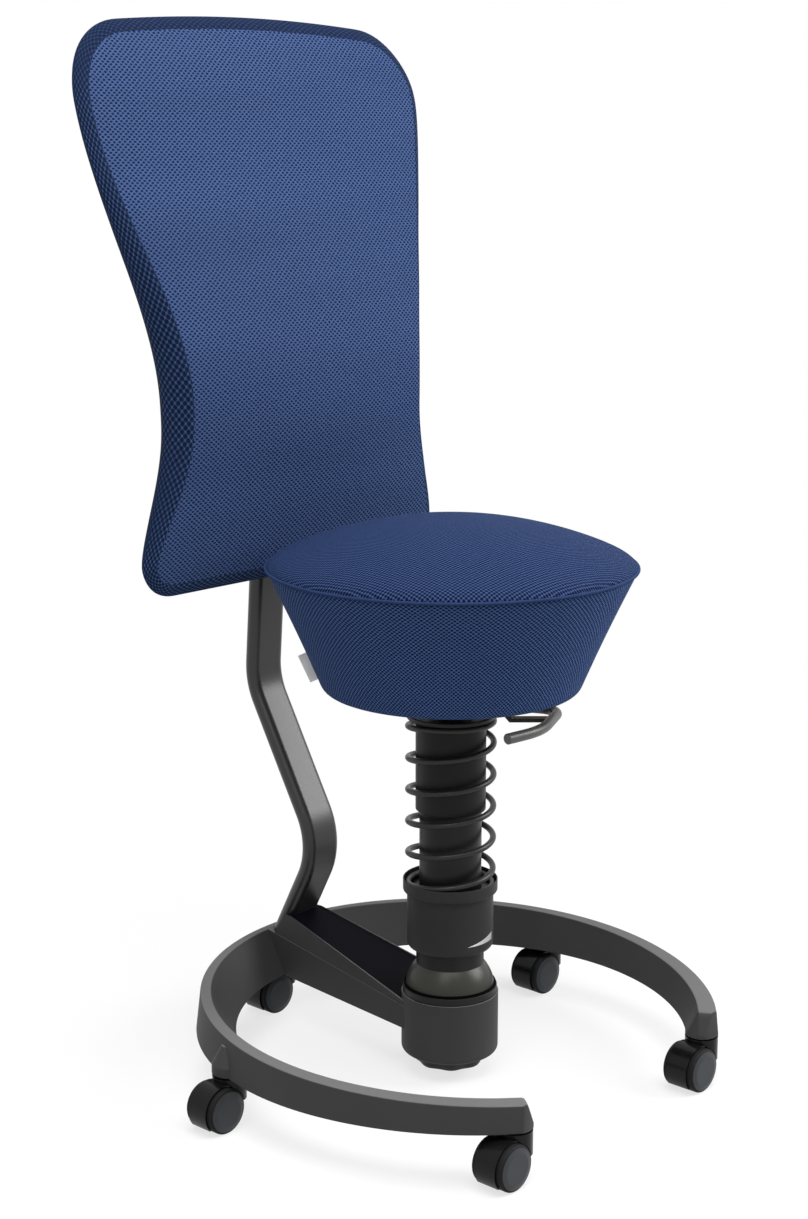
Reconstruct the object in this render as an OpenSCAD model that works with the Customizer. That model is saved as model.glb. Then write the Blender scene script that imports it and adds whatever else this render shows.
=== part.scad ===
// Balance stool: a round sprung seat on a tilting column, in an open ring base with five castors,
// and a tall padded back on a bent mast. Millimetres, +Z up. The origin is on the floor, on the
// column's axis. The sitter faces -Y, so the back is on +Y and the sitter's right is -X.

/* [Base ring] */
// Distance that the ring's centre lies in front of the column's axis
ring_centre_forward = 5.8; // [0:0.1:12]
// Outer radius of the ring at its top edge
ring_top_outer_r = 288; // [270:0.5:300]
// Inner radius of the ring at its top edge
ring_top_inner_r = 271.3; // [262:0.1:278]
// Outer radius of the ring at its foot
ring_foot_outer_r = 292.5; // [285:0.5:305]
// Inner radius of the ring at its foot
ring_foot_inner_r = 251; // [245:0.5:260]
// How far the inner circle of the top lies in front of the ring's centre
ring_top_inner_forward = 0.8; // [0:0.1:8]
// How far the inner circle of the foot lies in front of the ring's centre
ring_foot_inner_forward = 6; // [0:0.1:14]
// Height of the ring's foot above the floor
ring_foot_z = 58; // [54:0.5:64]
// Height of the ring's top above the floor, over the ring's centre
ring_top_z = 96.3; // [90:0.1:104]
// Rise of the ring's top towards the back, as a slope
ring_rise = 0.038; // [0:0.001:0.05]
// Angle from the back at which the ring's two tips end at the top
ring_tip_angle = 145.3; // [145:0.1:149]
// Angle from the back at which the ring starts to open out towards its tips
ring_flare_angle = 100; // [80:1:120]
// How much larger the radius of the ring's opened-out arms is
ring_flare_r = 29; // [5:1:45]

/* [Castors] */
// Radius of the circle that the castors stand on
castor_circle_r = 282.4; // [278:0.1:286]
// Distance that the castors' circle lies in front of the column's axis
castor_circle_forward = 4; // [0:0.1:10]
// Angle from the back to the castors at the sides
castor_side_angle = 73.1; // [65:0.1:80]
// Angle from the back to the castors at the ring's tips
castor_tip_angle = 144.7; // [143:0.1:145.5]
// Radius of the bosses that hold the castors
castor_boss_r = 19; // [16:0.1:20]
// Height of the straight part of the wall boss
castor_boss_h = 11; // [6:1:14]
// Height of the tapered part of the wall boss
castor_boss_taper_h = 21; // [14:1:22]
// Radius of the wall boss at its top
castor_boss_top_r = 7.5; // [6:0.5:12]
// Radius of a castor wheel
wheel_r = 25; // [22:0.5:26]
// Width of one wheel
wheel_w = 14.2; // [12:0.2:15]
// Gap between the two wheels of a castor
wheel_gap = 15.2; // [13:0.2:16]
// Distance from the swivel axis back to the wheels' axle
castor_trail = 20.9; // [18:0.1:24]
// Radius of the axle
axle_r = 3; // [2.5:0.1:4]
// Radius of the swivel stem
stem_r = 5.5; // [4.5:0.1:6]
// Length of the stem inside the boss
stem_seat_h = 22; // [16:1:24]
// Width of the hood over the wheels
hood_w = 27.4; // [22:0.2:30]
// Thickness of the hood's shell
hood_t = 1.6; // [1.2:0.1:2]

/* [Arm and hub] */
// Outer radius of the hub
hub_r = 55.2; // [54.5:0.1:58]
// Height of the hub's underside above the floor
hub_foot_z = 24.2; // [20:0.1:28]
// Radius of the rounded lower edge of the hub
hub_edge_r = 7; // [5:0.5:14]
// Height of the hub's top
hub_top_z = 95.2; // [92:0.1:98]
// Thickness of the hub's floor
hub_floor_t = 20; // [14:0.5:24]
// Half width of the arm where it meets the hub
arm_hub_half_w = 49.3; // [44:0.1:50]
// How far the mast shoe stands back from the arm's sides
shoe_step = 0.8; // [0.4:0.1:1.5]
// Half width of the arm's top where it meets the ring
arm_ring_half_w = 27.6; // [24:0.1:32]
// How much the arm widens from its top to its foot
arm_draft = 1.2; // [0:0.1:4]
// Height of the arm's underside at the hub
arm_foot_z = 55; // [48:0.5:57]
// Height of the arm's top at the hub
arm_hub_top_z = 80.7; // [76:0.1:84]
// Height of the top of the mast shoe at the hub
shoe_hub_top_z = 85; // [84:0.1:90]
// Height of the top of the mast shoe at the mast
shoe_mast_top_z = 134; // [120:0.5:150]
// Thickness of the mast shoe's side walls
shoe_wall = 2.4; // [1.5:0.1:4]
// Distance from the ring's rear edge forward to the mast's seat in the shoe
mast_seat_in = 42.2; // [38:0.1:46]
// Depth of the cover below the shoe's upper edges
cover_drop = 1.2; // [0.5:0.1:3]

/* [Tilt joint] */
// Height of the tilt joint's centre above the floor
pivot_z = 96; // [94:0.5:98]
// Radius of the tilt joint's dome
dome_r = 51.4; // [50:0.1:51.5]
// Wall thickness of the dome
dome_wall = 6; // [4:0.5:7]
// Depth of the dome below the joint's centre
dome_skirt = 26; // [18:1:27]
// Outer radius of the collar on the hub
collar_r = 53.5; // [53.4:0.1:54.5]
// Height of the collar
collar_h = 8.4; // [6:0.1:10]
// Radius of the joint's cross pins
cross_pin_r = 6; // [5:0.1:7]
// Distance from the joint's centre to the outer face of the yoke ears
ear_reach = 27; // [25:0.5:29]
// Thickness of the yoke ears
ear_t = 10; // [8:0.5:11]
// Half width of the yoke ears
ear_half_w = 12; // [10:0.5:12]
// Height of the rubber ring under the dome
rubber_h = 16.5; // [10:0.5:16.5]
// Radius of the knob under the hub
knob_r = 47; // [40:0.5:47.5]
// Height of the knob
knob_h = 13; // [10:0.1:14]
// Number of grip lobes on the knob
knob_lobes = 8; // [6:1:12]
// Radius of a grip lobe
knob_lobe_r = 6; // [4:0.5:8]

/* [Spring column] */
// Radius of the column's neck
neck_r = 38.4; // [38:0.1:38.8]
// Height of the neck's top above the floor
neck_top_z = 149; // [145:0.5:152]
// Radius of the spring cup's body
cup_r = 48.8; // [47:0.1:50]
// Outer radius of the spring cup's rim
rim_r = 53.4; // [53.3:0.1:55]
// Height of the rim
rim_h = 15.8; // [14.5:0.1:18]
// Height of the cup's top above the floor
cup_top_z = 229.4; // [225:0.1:235]
// Wall thickness of the rim around the spring
rim_wall = 1.5; // [1.2:0.1:1.5]
// Thickness of the ring that the spring stands on
spring_seat_t = 3; // [2:0.1:4]
// Outer radius of the lower tube
lower_tube_r = 35; // [34.5:0.1:35.3]
// Wall thickness of the lower tube
lower_tube_wall = 4; // [3:0.1:5]
// Height of the lower tube's top above the floor
lower_tube_top_z = 358; // [345:1:360]
// Outer radius of the upper sleeve
sleeve_r = 39.4; // [39.2:0.1:40.2]
// Height of the upper sleeve's foot above the floor
sleeve_foot_z = 310.5; // [300:0.5:320]
// Height of the spring plate's underside above the floor
plate_z = 416; // [412:0.5:417]
// Thickness of the spring plate
plate_t = 5; // [4:0.5:5]
// Radius of the spring plate
plate_r = 49.5; // [48:0.1:52]
// Diameter of the spring's wire
wire_d = 7; // [6:0.1:7.2]
// Mean radius of the spring
spring_r = 47.7; // [47.2:0.1:47.8]
// Rise of the spring in one turn
spring_pitch = 36.6; // [33:0.1:37.5]

/* [Gas spring] */
// Outer radius of the guide tube
guide_r = 25; // [24:0.5:26]
// Wall thickness of the guide tube
guide_wall = 2.5; // [2:0.1:3]
// Height of the guide tube's foot above the floor
guide_foot_z = 215; // [210:0.5:222]
// Radius of the gas spring's cylinder
gas_r = 14; // [13:0.1:15]
// Wall thickness of the gas spring's cylinder
gas_wall = 1.6; // [1.2:0.1:2]
// Height of the cylinder's lower end above the floor
gas_foot_z = 250; // [245:1:255]
// Height of the cylinder's upper end above the floor
gas_top_z = 446; // [440:0.5:448]
// Radius of the piston rod
rod_r = 5; // [4:0.1:6]
// Height that the seat can be raised
lift_travel = 80; // [60:5:90]
// Distance that the seat can bounce down
bounce_travel = 50; // [30:5:50]

/* [Seat] */
// Radius of the seat at its rim
seat_r = 205; // [190:1:206]
// Height of the rim above the floor
seat_rim_z = 587; // [575:1:595]
// Radius of the seat's foot
seat_foot_r = 141.4; // [138:0.1:150]
// Height of the seat's foot above the floor
seat_foot_z = 448.5; // [446:0.5:450]
// Height of the crown's dome above its rolled edge
seat_crown = 46; // [30:1:60]
// Height of the rolled edge, where the crown turns down to the piping
seat_roll = 7; // [3:0.5:12]
// Sharpness of the rolled edge: a higher value keeps the turn closer to the piping
seat_roll_bend = 24; // [8:2:40]
// Radius of the rounded edge at the foot
seat_edge_r = 14; // [8:1:18]
// How far the side is drawn in between rim and foot
seat_side_draw = 1.5; // [0:0.5:4]
// Radius of the piping around the rim
piping_r = 2; // [1.5:0.1:3]
// Radius of the pan in the seat
pan_r = 126; // [115:1:130]
// Thickness of the pan
pan_t = 8; // [6:0.5:12]
// Height of the pan's underside above the floor
pan_z = 456; // [454:0.5:460]
// Width of the carrier under the pan
carrier_w = 120; // [100:1:140]
// Length of the blank tag on the seat's side
tag_l = 33; // [20:1:40]
// How far the tag stands out
tag_out = 10; // [6:0.5:14]

/* [Lever] */
// Direction of the lever, from +X towards +Y
lever_angle = -47.2; // [-60:0.1:-30]
// Radius of the lever's grip rod
lever_rod_r = 6; // [4:0.1:7]
// Height of the grip rod's middle above the floor
lever_z = 421; // [419:0.5:424]
// Distance from the column's axis to the lever's pin
lever_pin_x = 36; // [32:0.5:40]
// Height of the lever's pin above the floor
lever_pin_z = 440; // [436:0.5:442]
// Length of the lever's flat bar beyond the pin
lever_bar_l = 74; // [66:1:78]
// Radius of the lever's pin
lever_pin_r = 4; // [3:0.1:5]

/* [Back] */
// Width of the mast's flat oval tube
mast_w = 50; // [40:1:54]
// Thickness of the mast's flat oval tube
mast_t = 20; // [16:1:22]
// Radius of the mast's two lower bends
mast_bend_r = 80; // [60:1:100]
// Height of the back's foot above the floor
back_foot_z = 547; // [540:1:560]
// Height of the back's top above the floor
back_top_z = 1177; // [1100:1:1200]
// Half width of the back at its lower corners
back_foot_half_w = 236; // [220:1:250]
// Half width of the back at its waist
back_waist_half_w = 194; // [180:1:210]
// Half width of the back at its shoulders
back_shoulder_half_w = 264.5; // [240:0.5:275]
// Height above the floor at which the back starts to widen upwards
back_waist_z = 757; // [745:1:790]
// Height above the floor at which the back starts to widen downwards
back_hip_z = 735; // [700:1:745]
// Height over the back's foot below which its width no longer changes
back_foot_straight = 13; // [5:1:30]
// Height of the shoulders above the floor
back_shoulder_z = 1097; // [1060:1:1110]
// Corner radius at the back's foot
back_foot_corner_r = 42; // [25:1:55]
// Corner radius at the back's top
back_top_corner_r = 85; // [60:1:95]
// How far the top edge rises in its middle
back_top_crown = 7; // [0:1:15]
// Thickness of the back's shell
shell_t = 5; // [4:0.5:8]
// How far the shell lies inside the pad's outline
shell_inset = 7; // [4:0.5:12]
// Width of the pad's slanting edge
pad_edge = 14; // [8:1:18]
// How far the pad's front swells in its middle
pad_crown = 5; // [0:0.5:10]

/* [Fits] */
// Gap between neighbouring parts that move past each other
gap = 0.3; // [0.2:0.05:0.4]
// Radial running clearance of a pin in its hole
run = 0.05; // [0.02:0.01:0.08]

/* [Hidden] */
BLACK = [0.17, 0.17, 0.175];
DARK = [0.08, 0.08, 0.09];
STEEL = [0.62, 0.62, 0.64];
RUBBER = [0.13, 0.13, 0.12];
BLUE = [0.13, 0.2, 0.45];
GREY = [0.8, 0.8, 0.8];
overcut = 1;
sliver = 0.02;
round_fn = 96;

ring_y = -ring_centre_forward;
ring_over_z = 2 * ring_top_z - ring_foot_z;
ring_back_y = ring_y + ring_top_outer_r;
mast_seat_y = ring_back_y - mast_seat_in;
castors = [
    ["back", 0],
    ["right", castor_side_angle],
    ["front_right", castor_tip_angle],
    ["left", -castor_side_angle],
    ["front_left", -castor_tip_angle]
];
castor_parts = ["hood", "pins", "wheel_front", "wheel_rear"];

// Height of the ring's sloping top at a distance y from the column's axis.
function ring_top_at(y) = ring_top_z + ring_rise * (y - ring_y);

// Unit vector at an angle from the back.
function heading(angle) = [-sin(angle), cos(angle)];

// The distance from the ring's centre to an edge of the given radius, at an angle from the back.
function flared(r, angle) =
    let (past = max(0, abs(angle) - ring_flare_angle), k = ring_flare_r)
    sqrt(pow(k * cos(past), 2) + pow(r + k, 2) - k * k) - k * cos(past);

// Edges of the ring's wall as [radius, forward] at its foot and at its level top.
inner_edge = [[ring_foot_inner_r, ring_foot_inner_forward], [ring_top_inner_r, ring_top_inner_forward]];
outer_edge = [[ring_foot_outer_r, 0], [ring_top_outer_r, 0]];

// A point of a wall at an angle. Its share of the height is 0 at the foot and 1 at the level top.
function wall_point(edge, angle, share) =
    let (
        at = edge[0] + share * (edge[1] - edge[0]),
        p = flared(at[0], angle) * heading(angle)
    )
    [p[0], ring_y - at[1] + p[1], ring_foot_z + share * (ring_top_z - ring_foot_z)];

// The share at which a wall meets the sloping top.
function top_share(edge, angle, tries = 4) =
    tries == 0
    ? 1
    : (ring_top_at(wall_point(edge, angle, top_share(edge, angle, tries - 1))[1]) - ring_foot_z)
        / (ring_top_z - ring_foot_z);

function castor_point(angle, z) =
    let (p = castor_circle_r * heading(angle))
    [p[0], p[1] - castor_circle_forward, z];

// Smooth step from 0 to 1.
function ease(t) = t <= 0 ? 0 : t >= 1 ? 1 : t * t * (3 - 2 * t);

// Values between two named stations.
function blend(a, b, t) = a + (b - a) * t;

function unit(v) = v / norm(v);

// The corners of a block that tapers along Y: [y, low z, low half width, top z, top half width].
module tapered_block(rear, front) {
    corners = [for (s = [rear, front]) each [
        [-s[2], s[0], s[1]], [s[2], s[0], s[1]], [s[4], s[0], s[3]], [-s[4], s[0], s[3]]
    ]];
    polyhedron(corners, [
        [0, 1, 2, 3], [7, 6, 5, 4], [4, 5, 1, 0], [6, 7, 3, 2],
        [5, 6, 2], [5, 2, 1], [7, 4, 3], [4, 0, 3]
    ]);
}

// A ring with a square section.
module ring(inner_r, outer_r, z, h) {
    translate([0, 0, z])
        difference() {
            cylinder(r = outer_r, h = h, $fn = round_fn);
            translate([0, 0, -overcut])
                cylinder(r = inner_r, h = h + 2 * overcut, $fn = round_fn);
        }
}

// Stations [point, direction angle] along a path in the XY plane, which runs straight through
// its points, with a bend of the given radius at each inner point.
bend_step = 6;
function course(a, b) = atan2(b[1] - a[1], b[0] - a[0]);
function stations(path, radii) =
    let (last = len(path) - 1)
    concat(
        [[path[0], course(path[0], path[1])]],
        [for (i = [1:last - 1])
            let (
                from = course(path[i - 1], path[i]),
                turn = course(path[i], path[i + 1]) - from,
                r = radii[i - 1] * sign(turn),
                centre = path[i] - r * tan(turn / 2) * [cos(from), sin(from)] + r * [-sin(from), cos(from)],
                steps = ceil(abs(turn) / bend_step)
            )
            for (k = [0:steps])
                let (angle = from + turn * k / steps)
                [centre + r * [sin(angle), -cos(angle)], angle]],
        [[path[last], course(path[last - 1], path[last])]]
    );

// A bar along such a path. The section's points are [sideways, up].
module bent_bar(path, radii, section) {
    skin([for (s = stations(path, radii))
        [for (p = section) [s[0][0] - p[0] * sin(s[1]), s[0][1] + p[0] * cos(s[1]), p[1]]]]);
}

// Closed skin over a stack of loops that all have the same number of points.
module skin(loops) {
    n = len(loops[0]);
    last = len(loops) - 1;
    middle = function(loop) [for (k = [0:2]) [for (p = loop) 1] * [for (p = loop) p[k]] / len(loop)];
    points = concat([for (l = loops) each l], [middle(loops[0]), middle(loops[last])]);
    sides = [for (k = [0:last - 1], i = [0:n - 1]) let (j = (i + 1) % n) each [
        [k * n + i, (k + 1) * n + i, k * n + j],
        [k * n + j, (k + 1) * n + i, (k + 1) * n + j]
    ]];
    first_cap = [for (i = [0:n - 1]) [(last + 1) * n, i, (i + 1) % n]];
    last_cap = [for (i = [0:n - 1]) [(last + 1) * n + 1, last * n + (i + 1) % n, last * n + i]];
    polyhedron(points, concat(sides, first_cap, last_cap));
}

// Base

// The space inside the ring, which leans: its foot lies further forward than its top.
module ring_inside() {
    rise = (ring_over_z - ring_foot_z) / (ring_top_z - ring_foot_z);
    over_r = blend(ring_foot_inner_r, ring_top_inner_r, rise);
    over_forward = blend(ring_foot_inner_forward, ring_top_inner_forward, rise);
    under_r = 2 * ring_foot_inner_r - over_r;
    under_forward = 2 * ring_foot_inner_forward - over_forward;
    hull() {
        translate([0, ring_y - over_forward, ring_over_z])
            cylinder(r = over_r, h = sliver, $fn = round_fn);
        translate([0, ring_y - under_forward, 2 * ring_foot_z - ring_over_z])
            cylinder(r = under_r, h = sliver, $fn = round_fn);
    }
}

// A section through the ring's wall: foot and top of the inner side, top and foot of the outer one.
function wall_section(angle) = [
    wall_point(inner_edge, angle, 0),
    wall_point(inner_edge, angle, top_share(inner_edge, angle)),
    wall_point(outer_edge, angle, top_share(outer_edge, angle)),
    wall_point(outer_edge, angle, 0)
];

// A section through the round end of a tip, whose top draws down to the castor's boss.
tip_foot_h = castor_boss_h / 3;
function tip_section(side, turn) =
    let (
        last = wall_section(side * ring_tip_angle),
        out = heading(side * castor_tip_angle),
        ahead = side * [out[1] * -1, out[0]],
        centre = castor_point(side * castor_tip_angle, 0),
        reach = castor_boss_r * sin(turn),
        half = castor_boss_r * cos(turn),
        end_half = castor_boss_r / 6,
        at = function(along, sideways, z) [
            centre[0] + along * ahead[0] + sideways * out[0],
            centre[1] + along * ahead[1] + sideways * out[1],
            z
        ],
        share = (sin(turn) - 0.15) / 0.85
    )
    [
        at(reach, -half, ring_foot_z),
        blend(last[1], at(castor_boss_r, -end_half, ring_foot_z + tip_foot_h), share),
        blend(last[2], at(castor_boss_r, end_half, ring_foot_z + tip_foot_h), share),
        at(reach, half, ring_foot_z)
    ];

wall_step = 360 / round_fn;
tip_run = ring_tip_angle - 4;
wall_steps = floor(tip_run / wall_step);
tip_turns = [9, 24, 40, 56, 70, 82];

module base_ring() {
    color(BLACK)
        difference() {
            union() {
                skin(concat(
                    [for (i = [len(tip_turns) - 1:-1:0]) tip_section(-1, tip_turns[i])],
                    [wall_section(-tip_run)],
                    [for (i = [-wall_steps:wall_steps]) wall_section(i * wall_step)],
                    [wall_section(tip_run)],
                    [for (turn = tip_turns) tip_section(1, turn)]
                ));
                for (c = castors)
                    if (abs(c[1]) < castor_tip_angle)
                        translate(castor_point(c[1], ring_foot_z)) {
                            cylinder(r = castor_boss_r, h = castor_boss_h, $fn = round_fn);
                            translate([0, 0, castor_boss_h])
                                cylinder(
                                    r1 = castor_boss_r,
                                    r2 = castor_boss_top_r,
                                    h = castor_boss_taper_h,
                                    $fn = round_fn
                                );
                        }
            }
            for (c = castors)
                translate(castor_point(c[1], ring_foot_z - overcut))
                    cylinder(r = stem_r + run, h = stem_seat_h + overcut, $fn = round_fn);
        }
}

arm_front_y = 20;
arm_rear_y = mast_seat_y + 0.6 * mast_w;
arm_rear_top_z = ring_top_at(arm_rear_y);

hub_cavity_r = dome_r + gap + 0.2;
hub_floor_z = hub_foot_z + hub_floor_t;

module hub_profile() {
    difference() {
        polygon(concat(
            [[0, hub_foot_z], [hub_r - hub_edge_r, hub_foot_z]],
            [for (a = [-80:10:0]) [
                hub_r - hub_edge_r + hub_edge_r * cos(a),
                hub_foot_z + hub_edge_r + hub_edge_r * sin(a)
            ]],
            [[hub_r, hub_top_z], [0, hub_top_z]]
        ));
        translate([-overcut, hub_floor_z])
            square([hub_cavity_r + overcut, hub_top_z]);
    }
}

knob_shaft_r = 10;

// The arm from the ring to the hub, the hub, and the lower yoke of the tilt joint inside it.
module base_arm() {
    color(BLACK) {
        difference() {
            intersection() {
                tapered_block(
                    [arm_rear_y, ring_foot_z, arm_ring_half_w + arm_draft, arm_rear_top_z, arm_ring_half_w],
                    [arm_front_y, arm_foot_z, arm_hub_half_w + arm_draft / 2, arm_hub_top_z, arm_hub_half_w]
                );
                ring_inside();
            }
            cylinder(r = hub_r, h = hub_top_z, $fn = round_fn);
        }
        difference() {
            union() {
                rotate_extrude($fn = round_fn)
                    hub_profile();
                for (side = [-1, 1])
                    translate([
                        side > 0 ? ear_reach - ear_t : -ear_reach,
                        -ear_half_w,
                        hub_floor_z - overcut
                    ])
                        cube([ear_t, 2 * ear_half_w, pivot_z + ear_half_w - hub_floor_z + overcut]);
            }
            translate([-2 * ear_reach, 0, pivot_z])
                rotate([0, 90, 0])
                    cylinder(r = cross_pin_r + run, h = 4 * ear_reach, $fn = round_fn);
            translate([0, 0, hub_foot_z - overcut])
                cylinder(r = knob_shaft_r + run, h = hub_floor_t + 2 * overcut, $fn = round_fn);
        }
    }
}

module hub_collar() {
    color(BLACK)
        ring(hub_cavity_r, collar_r, hub_top_z, collar_h);
}

shoe_slope = (shoe_mast_top_z - shoe_hub_top_z) / (mast_seat_y - arm_front_y);
shoe_rear_top_z = shoe_hub_top_z + shoe_slope * (arm_rear_y - arm_front_y);
shoe_mast_half_w = mast_w / 2;
shoe_half_slope = (arm_hub_half_w - shoe_mast_half_w) / (mast_seat_y - arm_front_y);
shoe_rear_half_w = arm_hub_half_w - shoe_half_slope * (arm_rear_y - arm_front_y);

module shoe_block(inset, drop, lift) {
    tapered_block(
        [
            arm_rear_y, arm_rear_top_z + lift, arm_ring_half_w - shoe_step - inset,
            shoe_rear_top_z - drop, shoe_rear_half_w - inset
        ],
        [
            arm_front_y, arm_hub_top_z + lift, arm_hub_half_w - shoe_step - inset,
            shoe_hub_top_z - drop, arm_hub_half_w - shoe_step - inset
        ]
    );
}

// The mast's lower straight run, which stands in the shoe.
module mast_foot_cut() {
    foot = mast_path[0];
    along = mast_path[1] - mast_path[0];
    rise_angle = atan2(along[0], along[1]);
    reach = 2 * norm(along);
    translate([0, foot[0], foot[1]])
        rotate([-rise_angle, 0, 0])
            translate([0, 0, -reach / 2]) {
                linear_extrude(reach)
                    rotate([0, 0, 90])
                        polygon(flat_oval);
                translate([-mast_w, 0, 0])
                    cube([2 * mast_w, mast_w, reach]);
            }
}

module mast_shoe() {
    color(BLACK)
        difference() {
            shoe_block(0, 0, 0);
            shoe_block(shoe_wall, -2 * mast_t, cover_drop);
            cylinder(r = hub_r, h = 2 * hub_top_z, $fn = round_fn);
            mast_foot_cut();
        }
}

module arm_cover() {
    color(DARK)
        difference() {
            intersection() {
                shoe_block(shoe_wall, cover_drop, cover_drop);
                shoe_block(0, cover_drop, 0);
            }
            cylinder(r = hub_r, h = 2 * hub_top_z, $fn = round_fn);
            mast_foot_cut();
        }
}

module rubber_ring() {
    color(RUBBER)
        ring(ear_reach + 4, hub_cavity_r - 3, hub_floor_z, rubber_h);
}

module stiffness_knob() {
    foot_r = knob_r - 6;
    color(DARK) {
        translate([0, 0, hub_foot_z - gap - knob_h]) {
            cylinder(r1 = foot_r, r2 = knob_r, h = knob_h, $fn = round_fn);
            for (i = [0:knob_lobes - 1])
                rotate([0, 0, i * 360 / knob_lobes])
                    translate([foot_r - knob_lobe_r / 2, 0, 0])
                        cylinder(r = knob_lobe_r, h = knob_h - 2, $fn = 48);
        }
        translate([0, 0, hub_foot_z - knob_h / 2])
            cylinder(r = knob_shaft_r, h = hub_floor_t + knob_h / 2 - overcut, $fn = round_fn);
    }
}

// Tilt joint

module tilt_cross() {
    core = 2 * ear_half_w - 2;
    color(STEEL)
        translate([0, 0, pivot_z]) {
            cube(core, center = true);
            for (turn = [0, 90])
                rotate([0, 90, turn])
                    cylinder(r = cross_pin_r, h = 2 * ear_reach, center = true, $fn = round_fn);
        }
}

foot_disc_z = pivot_z + 22;

// The upper yoke of the tilt joint and the neck above it, in one piece.
module column_foot() {
    color(DARK)
        difference() {
            union() {
                translate([0, 0, foot_disc_z])
                    cylinder(r = neck_r, h = neck_top_z - foot_disc_z, $fn = round_fn);
                for (side = [-1, 1])
                    translate([
                        -ear_half_w,
                        side > 0 ? ear_reach - ear_t : -ear_reach,
                        pivot_z - ear_half_w
                    ])
                        cube([2 * ear_half_w, ear_t, foot_disc_z - pivot_z + ear_half_w + overcut]);
            }
            translate([0, 0, pivot_z])
                rotate([90, 0, 0])
                    cylinder(r = cross_pin_r + run, h = 4 * ear_reach, center = true, $fn = round_fn);
        }
}

module joint_dome() {
    color(RUBBER)
        difference() {
            translate([0, 0, pivot_z])
                sphere(r = dome_r, $fn = round_fn);
            translate([0, 0, pivot_z])
                sphere(r = dome_r - dome_wall, $fn = round_fn);
            translate([0, 0, pivot_z])
                cylinder(r = neck_r, h = 2 * dome_r, $fn = round_fn);
            translate([-dome_r - overcut, -dome_r - overcut, pivot_z - dome_skirt - 2 * dome_r])
                cube([2 * (dome_r + overcut), 2 * (dome_r + overcut), 2 * dome_r]);
        }
}

// Column

cup_foot_z = neck_top_z + gap;
rim_foot_z = cup_top_z - rim_h;
pocket_r = rim_r - rim_wall;
pocket_z = cup_top_z - 13;
cup_edge = 7;

module spring_cup() {
    color(DARK)
        rotate_extrude($fn = round_fn)
            polygon(concat(
                [[lower_tube_r + gap, cup_foot_z], [cup_r - cup_edge, cup_foot_z]],
                [for (a = [-75:15:0]) [
                    cup_r - cup_edge + cup_edge * cos(a),
                    cup_foot_z + cup_edge + cup_edge * sin(a)
                ]],
                [
                    [cup_r, rim_foot_z],
                    [rim_r - 1, rim_foot_z + 1.5],
                    [rim_r, rim_foot_z + 3],
                    [rim_r, cup_top_z - 1],
                    [rim_r - rim_wall / 2, cup_top_z],
                    [pocket_r, cup_top_z - 1],
                    [pocket_r, pocket_z],
                    [lower_tube_r + gap, pocket_z]
                ]
            ));
}

module spring_seat() {
    color(STEEL)
        ring(lower_tube_r + gap, pocket_r - gap, pocket_z, spring_seat_t);
}

module lower_tube() {
    color(DARK)
        ring(
            lower_tube_r - lower_tube_wall, lower_tube_r,
            neck_top_z, lower_tube_top_z - neck_top_z
        );
}

bush_h = 16;

module guide_bushes() {
    inner = guide_r + run;
    outer = lower_tube_r - lower_tube_wall;
    color(GREY) {
        ring(inner, outer, lower_tube_top_z - bush_h - 4, bush_h);
        ring(inner, outer, guide_foot_z + 10, bush_h);
    }
}

// Height of the wire's middle after n turns from the camera's left. Both ends lie flat.
wire_r = wire_d / 2;
wire_low_z = pocket_z + spring_seat_t + wire_r + gap / 2;
wire_high_z = plate_z - wire_r - gap / 2;
spring_turns = (wire_high_z - wire_low_z) / spring_pitch;
end_turns = 0.74;
end_soft = 0.03;
spring_start_angle = 132;
curl_rings = 8;
wire_sides = 6;
function soft_ramp(t) = end_soft * ln(1 + exp(t / end_soft));
function wire_z(n) = wire_low_z + spring_pitch * (soft_ramp(n) - soft_ramp(n - spring_turns));
function wire_point(n) = [
    spring_r * cos(spring_start_angle + 360 * n),
    spring_r * sin(spring_start_angle + 360 * n),
    wire_z(n)
];
wire_turns = spring_turns + 2 * end_turns;
wire_steps = ceil(wire_turns * curl_rings);
wire_inner = [for (i = [0:wire_steps]) wire_point(-end_turns + i * wire_turns / wire_steps)];
function straight_end(p, q) = p + unit([p[0] - q[0], p[1] - q[1], 0]) * wire_d;
wire_path = concat(
    [straight_end(wire_inner[0], wire_point(-end_turns + 0.01))],
    wire_inner,
    [straight_end(wire_inner[wire_steps], wire_point(spring_turns + end_turns - 0.01))]
);
function wire_tangent(i) = unit(
    wire_path[min(i + 1, len(wire_path) - 1)] - wire_path[max(i - 1, 0)]
);
function wire_ring(i) =
    let (
        t = wire_tangent(i),
        out = unit([wire_path[i][0], wire_path[i][1], 0]),
        up = unit(cross(t, out)),
        side = cross(up, t)
    )
    [for (k = [0:wire_sides - 1]) wire_path[i]
        + wire_r * (cos(k * 360 / wire_sides) * side + sin(k * 360 / wire_sides) * up)];

// The least gap between turns, measured between points that lie half a turn or more apart.
spring_self_gap = min([
    for (i = [0:len(wire_path) - 1], j = [i + curl_rings / 2:1:len(wire_path) - 1])
        norm(wire_path[i] - wire_path[j])
]) - wire_d;

module coil_spring() {
    echo(least_gap_between_turns_mm = spring_self_gap);
    color(BLACK)
        skin([for (i = [0:len(wire_path) - 1]) wire_ring(i)]);
}

// Strut

module guide_tube() {
    floor_t = 4;
    color(DARK)
        difference() {
            translate([0, 0, guide_foot_z])
                cylinder(r = guide_r, h = plate_z + plate_t - guide_foot_z, $fn = round_fn);
            translate([0, 0, guide_foot_z + floor_t])
                cylinder(r = guide_r - guide_wall, h = plate_z, $fn = round_fn);
            translate([0, 0, guide_foot_z - overcut])
                cylinder(r = rod_r + run, h = floor_t + 2 * overcut, $fn = round_fn);
        }
}

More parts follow.
